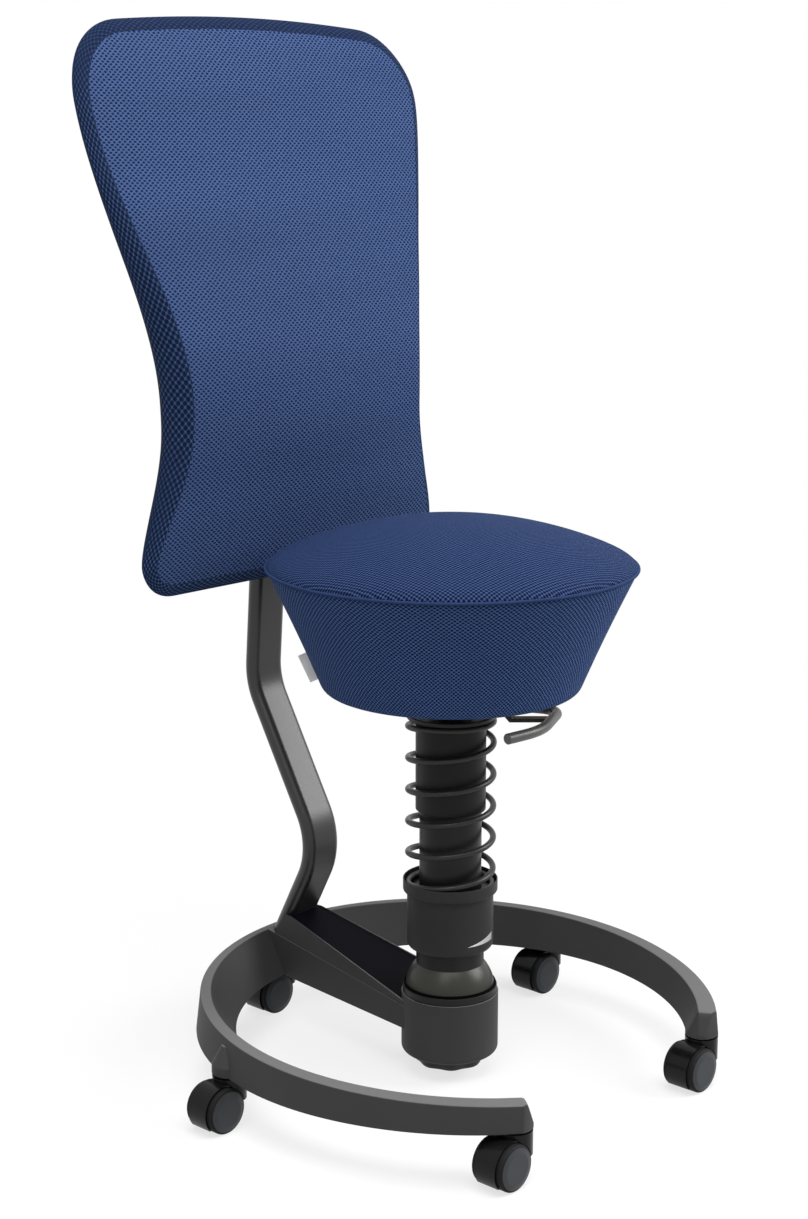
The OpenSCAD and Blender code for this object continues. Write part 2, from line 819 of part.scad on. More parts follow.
module upper_sleeve() {
    color(DARK)
        ring(lower_tube_r + gap, sleeve_r, sleeve_foot_z, plate_z - sleeve_foot_z);
}

module spring_plate() {
    color(BLACK)
        ring(guide_r, plate_r, plate_z, plate_t);
}

module lift_bush() {
    bush_l = 36;
    color(GREY)
        ring(gas_r + run, guide_r - guide_wall, plate_z + plate_t - bush_l, bush_l);
}

bearing_z = guide_foot_z + 4;
bearing_h = 5;

module thrust_bearing() {
    color(STEEL)
        ring(rod_r + gap, gas_r, bearing_z, bearing_h);
}

piston_z = gas_foot_z + 15 + lift_travel;

module piston_rod() {
    color(STEEL) {
        translate([0, 0, guide_foot_z - 6])
            cylinder(r = rod_r, h = piston_z + 5 - guide_foot_z + 6, $fn = round_fn);
        translate([0, 0, bearing_z + bearing_h + gap / 3])
            cylinder(r = gas_r - 4, h = 5, $fn = round_fn);
        translate([0, 0, piston_z])
            cylinder(r = gas_r - gas_wall - run, h = 10, $fn = round_fn);
    }
}

module rod_clip() {
    color(STEEL)
        ring(rod_r, gas_r - 4, guide_foot_z - 2.5 - gap, 2.5);
}

// Seat

button_r = 3;

module gas_cylinder() {
    seal_h = 12;
    color(DARK)
        difference() {
            translate([0, 0, gas_foot_z])
                cylinder(r = gas_r, h = gas_top_z - gas_foot_z, $fn = round_fn);
            translate([0, 0, gas_foot_z + seal_h])
                cylinder(r = gas_r - gas_wall, h = gas_top_z - gas_foot_z - 2 * seal_h, $fn = round_fn);
            translate([0, 0, gas_foot_z - overcut])
                cylinder(r = rod_r + run, h = seal_h + 2 * overcut, $fn = round_fn);
            translate([0, 0, gas_top_z - seal_h - overcut])
                cylinder(r = button_r + run, h = seal_h + 2 * overcut, $fn = round_fn);
        }
}

module valve_button() {
    color(STEEL)
        translate([0, 0, gas_top_z - 8])
            cylinder(r = button_r, h = lever_inner_z - ear_gap - gas_top_z + 8, $fn = round_fn);
}

carrier_foot_z = plate_z + plate_t + 3;
lever_slot = 15;
carrier_tube_r = gas_r + 10;
carrier_ear_out = 12;
lever_arm_t = 4;
lever_inner_z = pan_z - lever_arm_t - 1.3;
ear_gap = 0.4;

// The lever's own frame: X runs outwards along the lever.
module lever_frame() {
    rotate([0, 0, lever_angle])
        children();
}

module lever_pin() {
    color(STEEL)
        lever_frame()
            translate([lever_pin_x, 0, lever_pin_z])
                rotate([90, 0, 0])
                    cylinder(r = lever_pin_r, h = 2 * lever_slot + 12, center = true, $fn = round_fn);
}

module seat_carrier() {
    wall = 6;
    top_t = 4;
    color(DARK)
        difference() {
            union() {
                translate([0, 0, carrier_foot_z])
                    cylinder(r = carrier_tube_r, h = gas_top_z - carrier_foot_z, $fn = round_fn);
                lever_frame() {
                    for (side = [-1, 1])
                        translate([0, side > 0 ? lever_slot : -lever_slot - wall, carrier_foot_z + 6])
                            cube([lever_pin_x + carrier_ear_out, wall, pan_z - carrier_foot_z - 6]);
                    translate([-carrier_w / 2, -carrier_w / 2, pan_z - top_t])
                        cube([carrier_w, carrier_w, top_t]);
                    translate([-carrier_tube_r, -lever_slot - wall, gas_top_z - 12])
                        cube([carrier_tube_r - 2, 2 * (lever_slot + wall), pan_z - gas_top_z + 12]);
                }
            }
            translate([0, 0, carrier_foot_z - overcut])
                cylinder(r = gas_r, h = gas_top_z - carrier_foot_z + overcut, $fn = round_fn);
            translate([0, 0, gas_top_z - overcut])
                cylinder(r = button_r + 4, h = pan_z, $fn = round_fn);
            seat_bolt_places()
                translate([0, 0, pan_z - 2 * top_t])
                    cylinder(r = bolt_r, h = 3 * top_t, $fn = 48);
            lever_frame() {
                translate([-8, -lever_slot, gas_top_z])
                    cube([carrier_w, 2 * lever_slot, pan_z - gas_top_z + overcut]);
                translate([lever_pin_x, 0, lever_pin_z])
                    rotate([90, 0, 0])
                        cylinder(r = lever_pin_r, h = carrier_w, center = true, $fn = round_fn);
            }
        }
}

lever_path = [[57, -111], [96.5, -76], [122, 10], [84, 24]];

module release_lever() {
    bar_t = 4;
    bar_y = -29;
    bar_w = 14;
    plate_half = lever_slot - ear_gap;
    plate_z = lever_pin_z - 7;
    plate_top_z = lever_pin_z + 7;
    bar_foot_z = lever_z - bar_t / 2;
    cross_x = lever_pin_x + carrier_ear_out + 3;
    knee_x = carrier_tube_r + 2;
    color(BLACK)
        lever_frame() {
            difference() {
                union() {
                    translate([-5, -6, lever_inner_z])
                        cube([lever_pin_x, 12, lever_arm_t]);
                    translate([0, 6, 0])
                        rotate([90, 0, 0])
                            linear_extrude(12)
                                polygon([
                                    [lever_pin_x - 7, plate_z],
                                    [lever_pin_x, plate_z],
                                    [lever_pin_x, plate_top_z],
                                    [lever_pin_x - 5, lever_inner_z + lever_arm_t],
                                    [knee_x, lever_inner_z + lever_arm_t],
                                    [knee_x, lever_inner_z]
                                ]);
                    translate([lever_pin_x - 7, -plate_half, plate_z])
                        cube([32, 2 * plate_half, plate_top_z - plate_z]);
                    translate([cross_x, bar_y - bar_w / 2, plate_z])
                        cube([10, plate_half - bar_y, plate_top_z - plate_z]);
                    translate([0, bar_y + bar_w / 2, 0])
                        rotate([90, 0, 0])
                            linear_extrude(bar_w)
                                polygon([
                                    [cross_x, plate_z],
                                    [cross_x + 12, bar_foot_z],
                                    [lever_pin_x + lever_bar_l, bar_foot_z],
                                    [lever_pin_x + lever_bar_l, bar_foot_z + bar_t],
                                    [cross_x + 15, bar_foot_z + bar_t],
                                    [cross_x + 10, plate_z + 4],
                                    [cross_x + 10, plate_top_z],
                                    [cross_x, plate_top_z]
                                ]);
                }
                translate([lever_pin_x, 0, lever_pin_z])
                    rotate([90, 0, 0])
                        cylinder(r = lever_pin_r + run, h = carrier_w, center = true, $fn = round_fn);
            }
            translate([0, 0, lever_z])
                bent_bar(
                    lever_path,
                    [90, 24],
                    [for (a = [0:20:340]) lever_rod_r * [cos(a), sin(a)]]
                );
        }
}

cushion_r = seat_r - piping_r * 0.7;
cavity_z = pan_z + pan_t;

// The crown, the piping groove, the drawn-in side and the rounded foot of the seat, from the
// middle outwards.
function side_r(t) = blend(cushion_r, seat_foot_r, t) - seat_side_draw * sin(180 * t);
function side_z(t) = blend(seat_rim_z, seat_foot_z, t);
function crown_z(t) = seat_rim_z + seat_crown * (1 - t * t)
    + seat_roll * sqrt(1 - pow(t, seat_roll_bend));

module seat_cushion() {
    crown_steps = 18;
    side_steps = 8;
    side_angle = atan2(cushion_r - seat_foot_r, seat_rim_z - seat_foot_z);
    edge_t = 1 - seat_edge_r * (1 - sin(side_angle)) / (seat_rim_z - seat_foot_z);
    edge_x = side_r(edge_t) - seat_edge_r * cos(side_angle);
    edge_z = side_z(edge_t) + seat_edge_r * sin(side_angle);
    color(BLUE)
        rotate_extrude($fn = round_fn)
            difference() {
                polygon(concat(
                    [for (i = [0:crown_steps])
                        let (t = sin(90 * i / crown_steps)) [cushion_r * t, crown_z(t)]],
                    [for (i = [1:side_steps]) let (t = edge_t * i / side_steps) [side_r(t), side_z(t)]],
                    [for (a = [-side_angle - 15:-15:-90]) [
                        edge_x + seat_edge_r * cos(a),
                        edge_z + seat_edge_r * sin(a)
                    ]],
                    [
                        [pan_r + gap, edge_z - seat_edge_r],
                        [pan_r + gap, cavity_z + gap],
                        [0, cavity_z + gap]
                    ]
                ));
                translate([cushion_r, seat_rim_z])
                    circle(r = piping_r, $fn = 24);
            }
}

module seat_piping() {
    color(BLUE)
        rotate_extrude($fn = round_fn)
            translate([cushion_r, seat_rim_z])
                circle(r = piping_r, $fn = 24);
}

module seat_pan() {
    color(DARK)
        translate([0, 0, pan_z])
            difference() {
                cylinder(r = pan_r, h = pan_t, $fn = round_fn);
                seat_bolt_places()
                    translate([0, 0, -overcut])
                        cylinder(r = bolt_r, h = pan_t + 2 * overcut, $fn = 48);
            }
}

bolt_r = 3;
bolt_head_r = 5.5;
bolt_head_h = 3.5;

module seat_bolt_places() {
    lever_frame()
        for (x = [-1, 1], y = [-1, 1])
            translate([x * (carrier_w / 2 - 12), y * (carrier_w / 2 - 12), 0])
                children();
}

module seat_screws() {
    color(STEEL)
        seat_bolt_places() {
            translate([0, 0, pan_z])
                cylinder(r = bolt_r, h = pan_t - 1, $fn = 48);
            translate([0, 0, pan_z - 4])
                cylinder(r = bolt_r, h = 4 + sliver, $fn = 48);
            translate([0, 0, pan_z - 4 - bolt_head_h])
                cylinder(r = bolt_head_r, h = bolt_head_h, $fn = 6);
        }
}

module seat_tag() {
    tag_t = 0.8;
    tag_angle = lever_angle + 180;
    slant = unit([cushion_r - seat_foot_r, seat_rim_z - seat_foot_z]);
    out = [slant[1], -slant[0]];
    root = [blend(seat_foot_r, cushion_r, 0.08), blend(seat_foot_z, seat_rim_z, 0.08)] + out * gap;
    tip = root + slant * tag_l;
    color(GREY)
        rotate([0, 0, tag_angle])
            rotate([90, 0, 0])
                translate([0, 0, -tag_t / 2])
                    linear_extrude(tag_t)
                        polygon([root, tip, tip + out * tag_out, root + out * tag_out]);
}

// Back

// The corners of the mast's middle line: [distance behind its seat in the shoe, z].
mast_corners = [[22, 98], [-43.8, 223.2], [62, 408.8], [36.5, 745], [53, 882]];
mast_path = [for (p = mast_corners) [mast_seat_y + p[0], p[1]]];

// The mast's section: a flat oval, which measures mast_t along X and mast_w along Y.
flat_oval = [for (side = [1, -1], a = [0:15:180])
    side * [mast_t / 2 * cos(a), (mast_w - mast_t + mast_t * sin(a)) / 2]];

module backrest_mast() {
    color(BLACK)
        intersection() {
            rotate([90, 0, 90])
                bent_bar(mast_path, [mast_bend_r, mast_bend_r, 2.5 * mast_bend_r], flat_oval);
            translate([0, ring_y, ring_top_z])
                rotate([atan(ring_rise), 0, 0])
                    translate([-ring_top_outer_r, 0, 0])
                        cube([2 * ring_top_outer_r, 2 * ring_top_outer_r, back_top_z]);
        }
}

// The pad's front and rear faces at a height: [z, front and rear distance behind the mast's seat].
back_stations = [
    [540, 3, 9], [620, -10, 11], [700, -23, 15], [780, -25, 19], [860, -11, 28],
    [940, 13, 40], [1020, 36, 52], [1100, 53, 67], [1180, 76, 89]
];
function station(i) = back_stations[max(0, min(len(back_stations) - 1, i))];
// A smooth curve through the stations' column k.
function back_y(z, k) =
    let (
        step = back_stations[1][0] - back_stations[0][0],
        u = (z - back_stations[0][0]) / step,
        i = max(0, min(len(back_stations) - 2, floor(u))),
        t = u - i,
        a = station(i)[k],
        b = station(i + 1)[k],
        ma = (b - station(i - 1)[k]) / 2,
        mb = (station(i + 2)[k] - a) / 2
    )
    mast_seat_y + a * (1 + 2 * t) * (1 - t) * (1 - t) + ma * t * (1 - t) * (1 - t)
    + b * t * t * (3 - 2 * t) + mb * t * t * (t - 1);

// The back's half width at a height, without its corners.
function back_half_w(z) = z < back_waist_z
    ? blend(back_waist_half_w, back_foot_half_w,
        ease((back_hip_z - z) / (back_hip_z - back_foot_z - back_foot_straight)))
    : blend(back_waist_half_w, back_shoulder_half_w,
        ease((z - back_waist_z) / (back_shoulder_z - back_waist_z)));

// The right half of the outline, from the middle of the foot to the middle of the top.
foot_corner_z = back_foot_z + back_foot_corner_r;
top_corner_z = back_top_z - back_top_crown - back_top_corner_r;
half_outline = concat(
    [for (t = [0.15, 0.5, 0.8]) [t * (back_foot_half_w - back_foot_corner_r), back_foot_z]],
    [for (a = [-90:15:-15]) [
        back_half_w(foot_corner_z) - back_foot_corner_r + back_foot_corner_r * cos(a),
        foot_corner_z + back_foot_corner_r * sin(a)
    ]],
    [for (i = [0:12]) let (z = blend(foot_corner_z, top_corner_z, i / 12)) [back_half_w(z), z]],
    [for (a = [15:15:90]) [
        back_half_w(top_corner_z) - back_top_corner_r + back_top_corner_r * cos(a),
        top_corner_z + back_top_corner_r * sin(a)
    ]],
    [for (t = [0.8, 0.5, 0.15]) [
        t * (back_shoulder_half_w - back_top_corner_r),
        back_top_z - back_top_crown * t * t
    ]]
);
outline = concat(
    half_outline,
    [for (i = [len(half_outline) - 1:-1:0]) [-half_outline[i][0], half_outline[i][1]]]
);

// The outline moved inwards by a distance.
function inset_outline(d) = [for (i = [0:len(outline) - 1])
    let (
        n = len(outline),
        along = unit(outline[(i + 1) % n] - outline[(i + n - 1) % n])
    )
    outline[i] + d * [-along[1], along[0]]];

// The outline's half width at a height, corners and rising top edge included.
top_edge_z = back_top_z - back_top_crown;
function arc_in(r, d) = r - sqrt(max(0, r * r - d * d));
function row_half_w(z) = z < foot_corner_z
    ? back_half_w(foot_corner_z) - arc_in(back_foot_corner_r, foot_corner_z - z)
    : z > top_edge_z
    ? (back_half_w(top_corner_z) - back_top_corner_r) * sqrt((back_top_z - z) / back_top_crown)
    : z > top_corner_z
    ? back_half_w(top_corner_z) - arc_in(back_top_corner_r, z - top_corner_z)
    : back_half_w(z);

// Distance of a point on a row from the outline: sideways, up and down.
function edge_gap(x, z) =
    let (
        top_run = back_half_w(top_corner_z) - back_top_corner_r,
        foot_run = back_half_w(foot_corner_z) - back_foot_corner_r,
        top_z = abs(x) < top_run
            ? back_top_z - back_top_crown * pow(x / top_run, 2)
            : top_edge_z - arc_in(back_top_corner_r, abs(x) - top_run),
        foot_z = back_foot_z + arc_in(back_foot_corner_r, max(0, abs(x) - foot_run))
    )
    max(0, min(row_half_w(z) - abs(x), top_z - z, z - foot_z));

// The pad's rounded edge: how far the front and rear faces draw together, as shares.
pad_rear_edge = pad_edge / 3;
function front_share(d) = 0.5 * pow(max(0, 1 - d / pad_edge), 2);
function rear_share(d) = 1 - 0.3 * pow(max(0, 1 - d / pad_rear_edge), 2);
function pad_point(x, z, share, swell) =
    let (w = max(row_half_w(z), pad_edge))
    [x, blend(back_y(z, 1), back_y(z, 2), share) - swell * max(0, 1 - pow(x / w, 2)), z];

// One row of the pad: across the front from -X to +X, then back across the rear.
function pad_row(z) =
    let (
        w = row_half_w(z),
        steps = [for (d = [0, pad_edge / 9, pad_edge / 3, pad_edge]) w - min(d, w / 2)],
        inner_w = steps[3],
        half = concat(steps, [0.7, 0.4] * inner_w),
        front = concat(-half, [0], [for (i = [len(half) - 1:-1:0]) half[i]]),
        rear = [w - min(pad_rear_edge, w / 3), 0.5 * w, 0, -0.5 * w, -w + min(pad_rear_edge, w / 3)],
        fade = min(1, min(back_top_z - z, z - back_foot_z) / 80)
    )
    concat(
        [for (x = front) let (d = edge_gap(x, z)) pad_point(x, z, front_share(d), pad_crown * fade)],
        [for (x = rear) pad_point(x, z, rear_share(edge_gap(x, z)), 0)]
    );

module backrest_pad() {
    edge_steps = [0, pad_edge / 9, pad_edge / 3, 0.7 * pad_edge, pad_edge];
    top_steps = [0.1, 1.2, 3.5, back_top_crown, 1.4 * back_top_crown, pad_edge, 1.6 * pad_edge];
    foot_rows = concat(
        [for (d = edge_steps) back_foot_z + d],
        [blend(back_foot_z + pad_edge, foot_corner_z, 0.5)]
    );
    side_rows = [for (i = [0:20]) blend(foot_corner_z, top_corner_z, i / 20)];
    corner_rows = [for (i = [1:3]) top_corner_z + i * 0.2 * back_top_corner_r];
    top_rows = [for (i = [len(top_steps) - 1:-1:0]) back_top_z - top_steps[i]];
    color(BLUE)
        skin([for (z = concat(foot_rows, side_rows, corner_rows, top_rows)) pad_row(z)]);
}

module shell_side_profile(front_gap, t) {
    zs = [back_foot_z - 5:20:back_top_z + 20];
    polygon(concat(
        [for (z = zs) [back_y(z, 2) + front_gap, z]],
        [for (i = [floor((back_top_z + 25 - back_foot_z) / 20):-1:0])
            let (z = back_foot_z - 5 + 20 * i) [back_y(z, 2) + front_gap + t, z]]
    ));
}

module backrest_shell() {
    half_len = back_shoulder_half_w + overcut;
    color(DARK)
        difference() {
            intersection() {
                rotate([90, 0, 90])
                    translate([0, 0, -half_len])
                        linear_extrude(2 * half_len)
                            shell_side_profile(gap, shell_t);
                translate([0, 2 * back_y(back_top_z, 2), 0])
                    rotate([90, 0, 0])
                        linear_extrude(2 * back_y(back_top_z, 2))
                            polygon(inset_outline(shell_inset));
            }
            bracket_bolts(0)
                cylinder(r = bolt_r, h = 60, center = true, $fn = 48);
        }
}

// The mast's top run: its direction, and the frame whose Y axis looks away from the pad.
mast_top = mast_path[4];
mast_lean = atan2(mast_path[4][0] - mast_path[3][0], mast_path[4][1] - mast_path[3][1]);
bracket_w = 110;
bracket_h = 100;

module mast_top_frame() {
    translate([0, mast_top[0], mast_top[1]])
        rotate([-mast_lean, 0, 0])
            children();
}

module bracket_bolts(y) {
    mast_top_frame()
        for (x = [-1, 1], z = [-bracket_h + 14, -14])
            translate([x * (bracket_w / 2 - 14), y, z])
                rotate([90, 0, 0])
                    children();
}

module backrest_bracket() {
    color(BLACK)
        difference() {
            mast_top_frame()
                translate([-bracket_w / 2, -mast_t / 2 - 30, -bracket_h])
                    cube([bracket_w, 30, bracket_h]);
            translate([0, 0, 0])
                rotate([90, 0, 90])
                    translate([0, 0, -bracket_w])
                        linear_extrude(2 * bracket_w)
                            shell_side_profile(gap - 60, shell_t + 60);
            bracket_bolts(0)
                cylinder(r = bolt_r, h = 60, center = true, $fn = 48);
        }
}

module backrest_screws() {
    color(STEEL)
        bracket_bolts(-mast_t / 2) {
            translate([0, 0, -bolt_head_h])
                cylinder(r = bolt_head_r + 1.5, h = bolt_head_h, $fn = round_fn);
            cylinder(r = bolt_r, h = 9, $fn = 48);
        }
}

// Castors

// A castor's own frame: the origin is on the floor under the stem, and the wheels trail on -X.
hood_r = wheel_r + 0.6;
hood_outer_r = hood_r + hood_t;
axle_z = wheel_r;
web_w = wheel_gap - 2 * gap;
barrel_top_z = ring_foot_z - 1.6;

module on_axle() {
    translate([-castor_trail, 0, axle_z])
        rotate([90, 0, 0])
            children();
}

module castor_hood() {
    barrel_foot_z = 30;
    hood_foot_z = 8;
    color(DARK)
        difference() {
            union() {
                difference() {
                    on_axle()
                        cylinder(r = hood_outer_r, h = hood_w, center = true, $fn = round_fn);
                    translate([-castor_trail, -hood_w, -wheel_r])
                        cube([2 * wheel_r, 2 * hood_w, axle_z + 5 + wheel_r]);
                    translate([-2 * castor_trail - wheel_r, -hood_w, -wheel_r])
                        cube([4 * wheel_r, 2 * hood_w, hood_foot_z + wheel_r]);
                }
                on_axle()
                    cylinder(r = wheel_r - 5, h = web_w, center = true, $fn = round_fn);
                translate([0, 0, barrel_foot_z])
                    cylinder(r = castor_boss_r - 0.4, h = barrel_top_z - barrel_foot_z, $fn = round_fn);
            }
            for (side = [-1, 1])
                translate([0, side * (web_w / 2 + 2 * wheel_w), 0])
                    on_axle()
                        cylinder(r = hood_r, h = 4 * wheel_w, center = true, $fn = round_fn);
            on_axle()
                cylinder(r = axle_r, h = wheel_gap, center = true, $fn = round_fn);
            translate([0, 0, barrel_foot_z + 4])
                cylinder(r = stem_r, h = ring_foot_z, $fn = round_fn);
        }
}

module castor_pins() {
    stem_foot_z = 34;
    color(STEEL) {
        translate([0, 0, stem_foot_z])
            cylinder(r = stem_r, h = ring_foot_z + stem_seat_h - gap - stem_foot_z, $fn = round_fn);
        on_axle()
            cylinder(r = axle_r, h = wheel_gap + 2 * wheel_w - 8, center = true, $fn = round_fn);
    }
}

// One wheel, on the side given as 1 for -Y and -1 for +Y.
module castor_wheel(side) {
    inner = wheel_gap / 2;
    outer = inner + wheel_w;
    color(DARK)
        translate([-castor_trail, 0, axle_z])
            rotate([side * 90, 0, 0])
                rotate_extrude($fn = round_fn)
                    polygon([
                        [axle_r + run, inner],
                        [wheel_r - 1.5, inner],
                        [wheel_r, inner + 1.5],
                        [wheel_r, outer - 4],
                        [wheel_r - 3.5, outer - 0.8],
                        [wheel_r - 6, outer - 0.6],
                        [wheel_r - 6.5, outer],
                        [0, outer],
                        [0, outer - 3.5],
                        [axle_r + run, outer - 3.5]
                    ]);
}

module at_castor(angle) {
    translate(castor_point(angle, 0))
        children();
}

base_ring();
base_arm();
hub_collar();
mast_shoe();
arm_cover();
rubber_ring();
stiffness_knob();
tilt_cross();
column_foot();
joint_dome();
lower_tube();
guide_bushes();
coil_spring();
spring_seat();
spring_cup();
guide_tube();
upper_sleeve();
spring_plate();
lift_bush();
thrust_bearing();
piston_rod();
rod_clip();
gas_cylinder();
seat_carrier();
lever_pin();
release_lever();
valve_button();
seat_pan();
seat_screws();
seat_cushion();
seat_piping();
seat_tag();
backrest_mast();
backrest_bracket();
backrest_shell();
backrest_pad();
backrest_screws();
for (c = castors) {
    at_castor(c[1]) castor_hood();
    at_castor(c[1]) castor_pins();
    at_castor(c[1]) castor_wheel(1);
    at_castor(c[1]) castor_wheel(-1);
}
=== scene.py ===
from math import atan2, ceil, copysign, cos, degrees, dist, exp, hypot, log1p, pi, radians, sin, sqrt, tan

import bpy
import bmesh
import numpy as np
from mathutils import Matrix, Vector, geometry


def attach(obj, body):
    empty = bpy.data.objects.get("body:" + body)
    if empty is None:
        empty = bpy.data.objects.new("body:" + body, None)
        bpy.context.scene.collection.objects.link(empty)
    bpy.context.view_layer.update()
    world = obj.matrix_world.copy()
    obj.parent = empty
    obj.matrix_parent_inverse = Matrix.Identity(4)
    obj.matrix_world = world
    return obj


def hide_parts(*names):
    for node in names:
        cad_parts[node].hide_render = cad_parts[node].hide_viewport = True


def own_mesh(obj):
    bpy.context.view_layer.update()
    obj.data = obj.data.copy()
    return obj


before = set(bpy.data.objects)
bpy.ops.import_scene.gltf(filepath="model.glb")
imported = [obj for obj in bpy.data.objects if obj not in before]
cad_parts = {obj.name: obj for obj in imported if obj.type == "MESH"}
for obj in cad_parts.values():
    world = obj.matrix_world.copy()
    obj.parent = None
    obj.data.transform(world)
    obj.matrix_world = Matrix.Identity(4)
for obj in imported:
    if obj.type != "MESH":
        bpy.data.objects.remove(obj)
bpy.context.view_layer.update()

scene = bpy.context.scene
MM = 0.001

# Base ring: a powder-coated casting, open at the front, whose wall leans and whose top rises
# towards the back. Its two tips draw down to round castor bosses, and three more bosses stand
# against the wall's foot. The arm, the hub and the mast's shoe have the same coat.


def add_mesh(name, points, faces):
    """A smooth mesh piece from points in millimetres."""
    mesh = bpy.data.meshes.new(name)
    mesh.from_pydata([tuple(float(c) * MM for c in p) for p in points], [], [list(f) for f in faces])
    mesh.update()
    mesh.polygons.foreach_set("use_smooth", [True] * len(mesh.polygons))
    piece = bpy.data.objects.new(name, mesh)
    scene.collection.objects.link(piece)
    return piece


def dress(piece, *materials):
    for material in materials:
        piece.data.materials.append(material)


def reworked(piece, *steps):
    """Runs the steps on a piece's mesh and turns its faces outwards."""
    work = bmesh.new()
    work.from_mesh(piece.data)
    for step in steps:
        step(work)
    bmesh.ops.recalc_face_normals(work, faces=work.faces)
    work.to_mesh(piece.data)
    work.free()
    return piece


def weld(work):
    """Joins the points that meet on an axis and drops the faces that they close."""
    bmesh.ops.remove_doubles(work, verts=work.verts, dist=1e-7)
    bmesh.ops.dissolve_degenerate(work, dist=1e-7, edges=work.edges)


def skin(name, loops, closed=False):
    """A tube skin over loops that all have the same number of points, with its ends filled."""
    loops = np.asarray(loops, dtype=float)
    rows, n = loops.shape[:2]
    faces = []
    for k in range(rows if closed else rows - 1):
        a, b = k * n, (k + 1) % rows * n
        faces += [(a + i, b + i, b + (i + 1) % n, a + (i + 1) % n) for i in range(n)]
    if not closed:
        faces += [tuple(range(n)), tuple((rows - 1) * n + i for i in reversed(range(n)))]
    return reworked(add_mesh(name, loops.reshape(-1, 3), faces))


def softened(corners, radii, steps=4, closed=True):
    """The corner points with each corner rounded by about its radius, or by half of an edge."""
    corners = [np.asarray(c, dtype=float) for c in corners]
    n, most = len(corners), 0.48
    points = []
    for i, (c, r) in enumerate(zip(corners, radii)):
        if not r or (not closed and i in (0, n - 1)):
            points.append(c)
            continue
        before, after = corners[i - 1] - c, corners[(i + 1) % n] - c
        a, b = (c + way * min(r / np.linalg.norm(way), most) for way in (before, after))
        for k in range(steps + 1):
            t = k / steps
            points.append((1 - t) ** 2 * a + 2 * t * (1 - t) * c + t * t * b)
    return points


def flat_faces(piece):
    """Lets wide faces look flat between their soft edges."""
    flat = piece.modifiers.new("flat_faces", "WEIGHTED_NORMAL")
    flat.keep_sharp = True


def sharp_edges(piece, angle):
    """Smooth shading with edges that stay crisp above an angle."""
    piece.data.set_sharp_from_angle(angle=radians(angle))
    flat_faces(piece)


def new_group(name, inputs, outputs):
    """A shader node group that takes vectors and gives out numbers."""
    tree = bpy.data.node_groups.new(name, "ShaderNodeTree")
    for socket in inputs:
        tree.interface.new_socket(socket, in_out="INPUT", socket_type="NodeSocketVector")
    for socket in outputs:
        tree.interface.new_socket(socket, in_out="OUTPUT", socket_type="NodeSocketFloat")
    return tree


def put(tree, kind, links=None, **values):
    """A shader node with its values set and its inputs linked or filled."""
    node = tree.nodes.new(kind)
    for key, value in values.items():
        setattr(node, key, value)
    for key, source in (links or {}).items():
        socket = node.inputs[key]
        if isinstance(source, bpy.types.NodeSocket):
            tree.links.new(source, socket)
        else:
            socket.default_value = source
    return node


def number_of(tree, operation, *inputs):
    return put(tree, "ShaderNodeMath", dict(enumerate(inputs)), operation=operation).outputs[0]


def spread(tree, value, to, since=(0.0, 1.0), **values):
    """A value carried over from one range to another."""
    ranges = {"From Min": since[0], "From Max": since[1], "To Min": to[0], "To Max": to[1]}
    return put(tree, "ShaderNodeMapRange", {"Value": value, **ranges}, **values).outputs[0]


def noise(tree, place, scale, detail, roughness=0.5, distortion=0.0):
    look = {"Scale": scale, "Detail": detail, "Roughness": roughness, "Distortion": distortion}
    return put(tree, "ShaderNodeTexNoise", {"Vector": place, **look}).outputs["Fac"]


def facing_up(tree):
    """How far a face looks up, from -1 to 1."""
    normal = put(tree, "ShaderNodeNewGeometry").outputs["True Normal"]
    return put(tree, "ShaderNodeSeparateXYZ", {0: normal}).outputs["Z"]


def ramp(tree, source, stops):
    node = put(tree, "ShaderNodeValToRGB", {0: source})
    band = node.color_ramp
    while len(band.elements) < len(stops):
        band.elements.new(0.5)
    for element, (place, value) in zip(band.elements, stops):
        element.position = place
        element.color = (*value, 1) if isinstance(value, tuple) else (value, value, value, 1)
    return node.outputs["Color"]


def surface(name, color, roughness, shine=0.5, metal=0.0):
    """A material with its tree, its shader and the object's coordinates."""
    material = bpy.data.materials.new(name)
    material.use_nodes = True
    tree = material.node_tree
    shader = tree.nodes["Principled BSDF"]
    shader.inputs["Base Color"].default_value = (*color, 1)
    shader.inputs["Roughness"].default_value = roughness
    shader.inputs["Specular IOR Level"].default_value = shine
    shader.inputs["Metallic"].default_value = metal
    return material, tree, shader, put(tree, "ShaderNodeTexCoord").outputs


def toned(tree, color, factor):
    """A colour made lighter or darker over the surface."""
    return put(tree, "ShaderNodeVectorMath", {0: color, "Scale": factor}, operation="SCALE").outputs[0]


def dented(tree, shader, height, strength, depth):
    """Fine relief, its depth in metres."""
    relief = put(tree, "ShaderNodeBump", {"Height": height, "Strength": strength, "Distance": depth})
    tree.links.new(relief.outputs["Normal"], shader.inputs["Normal"])


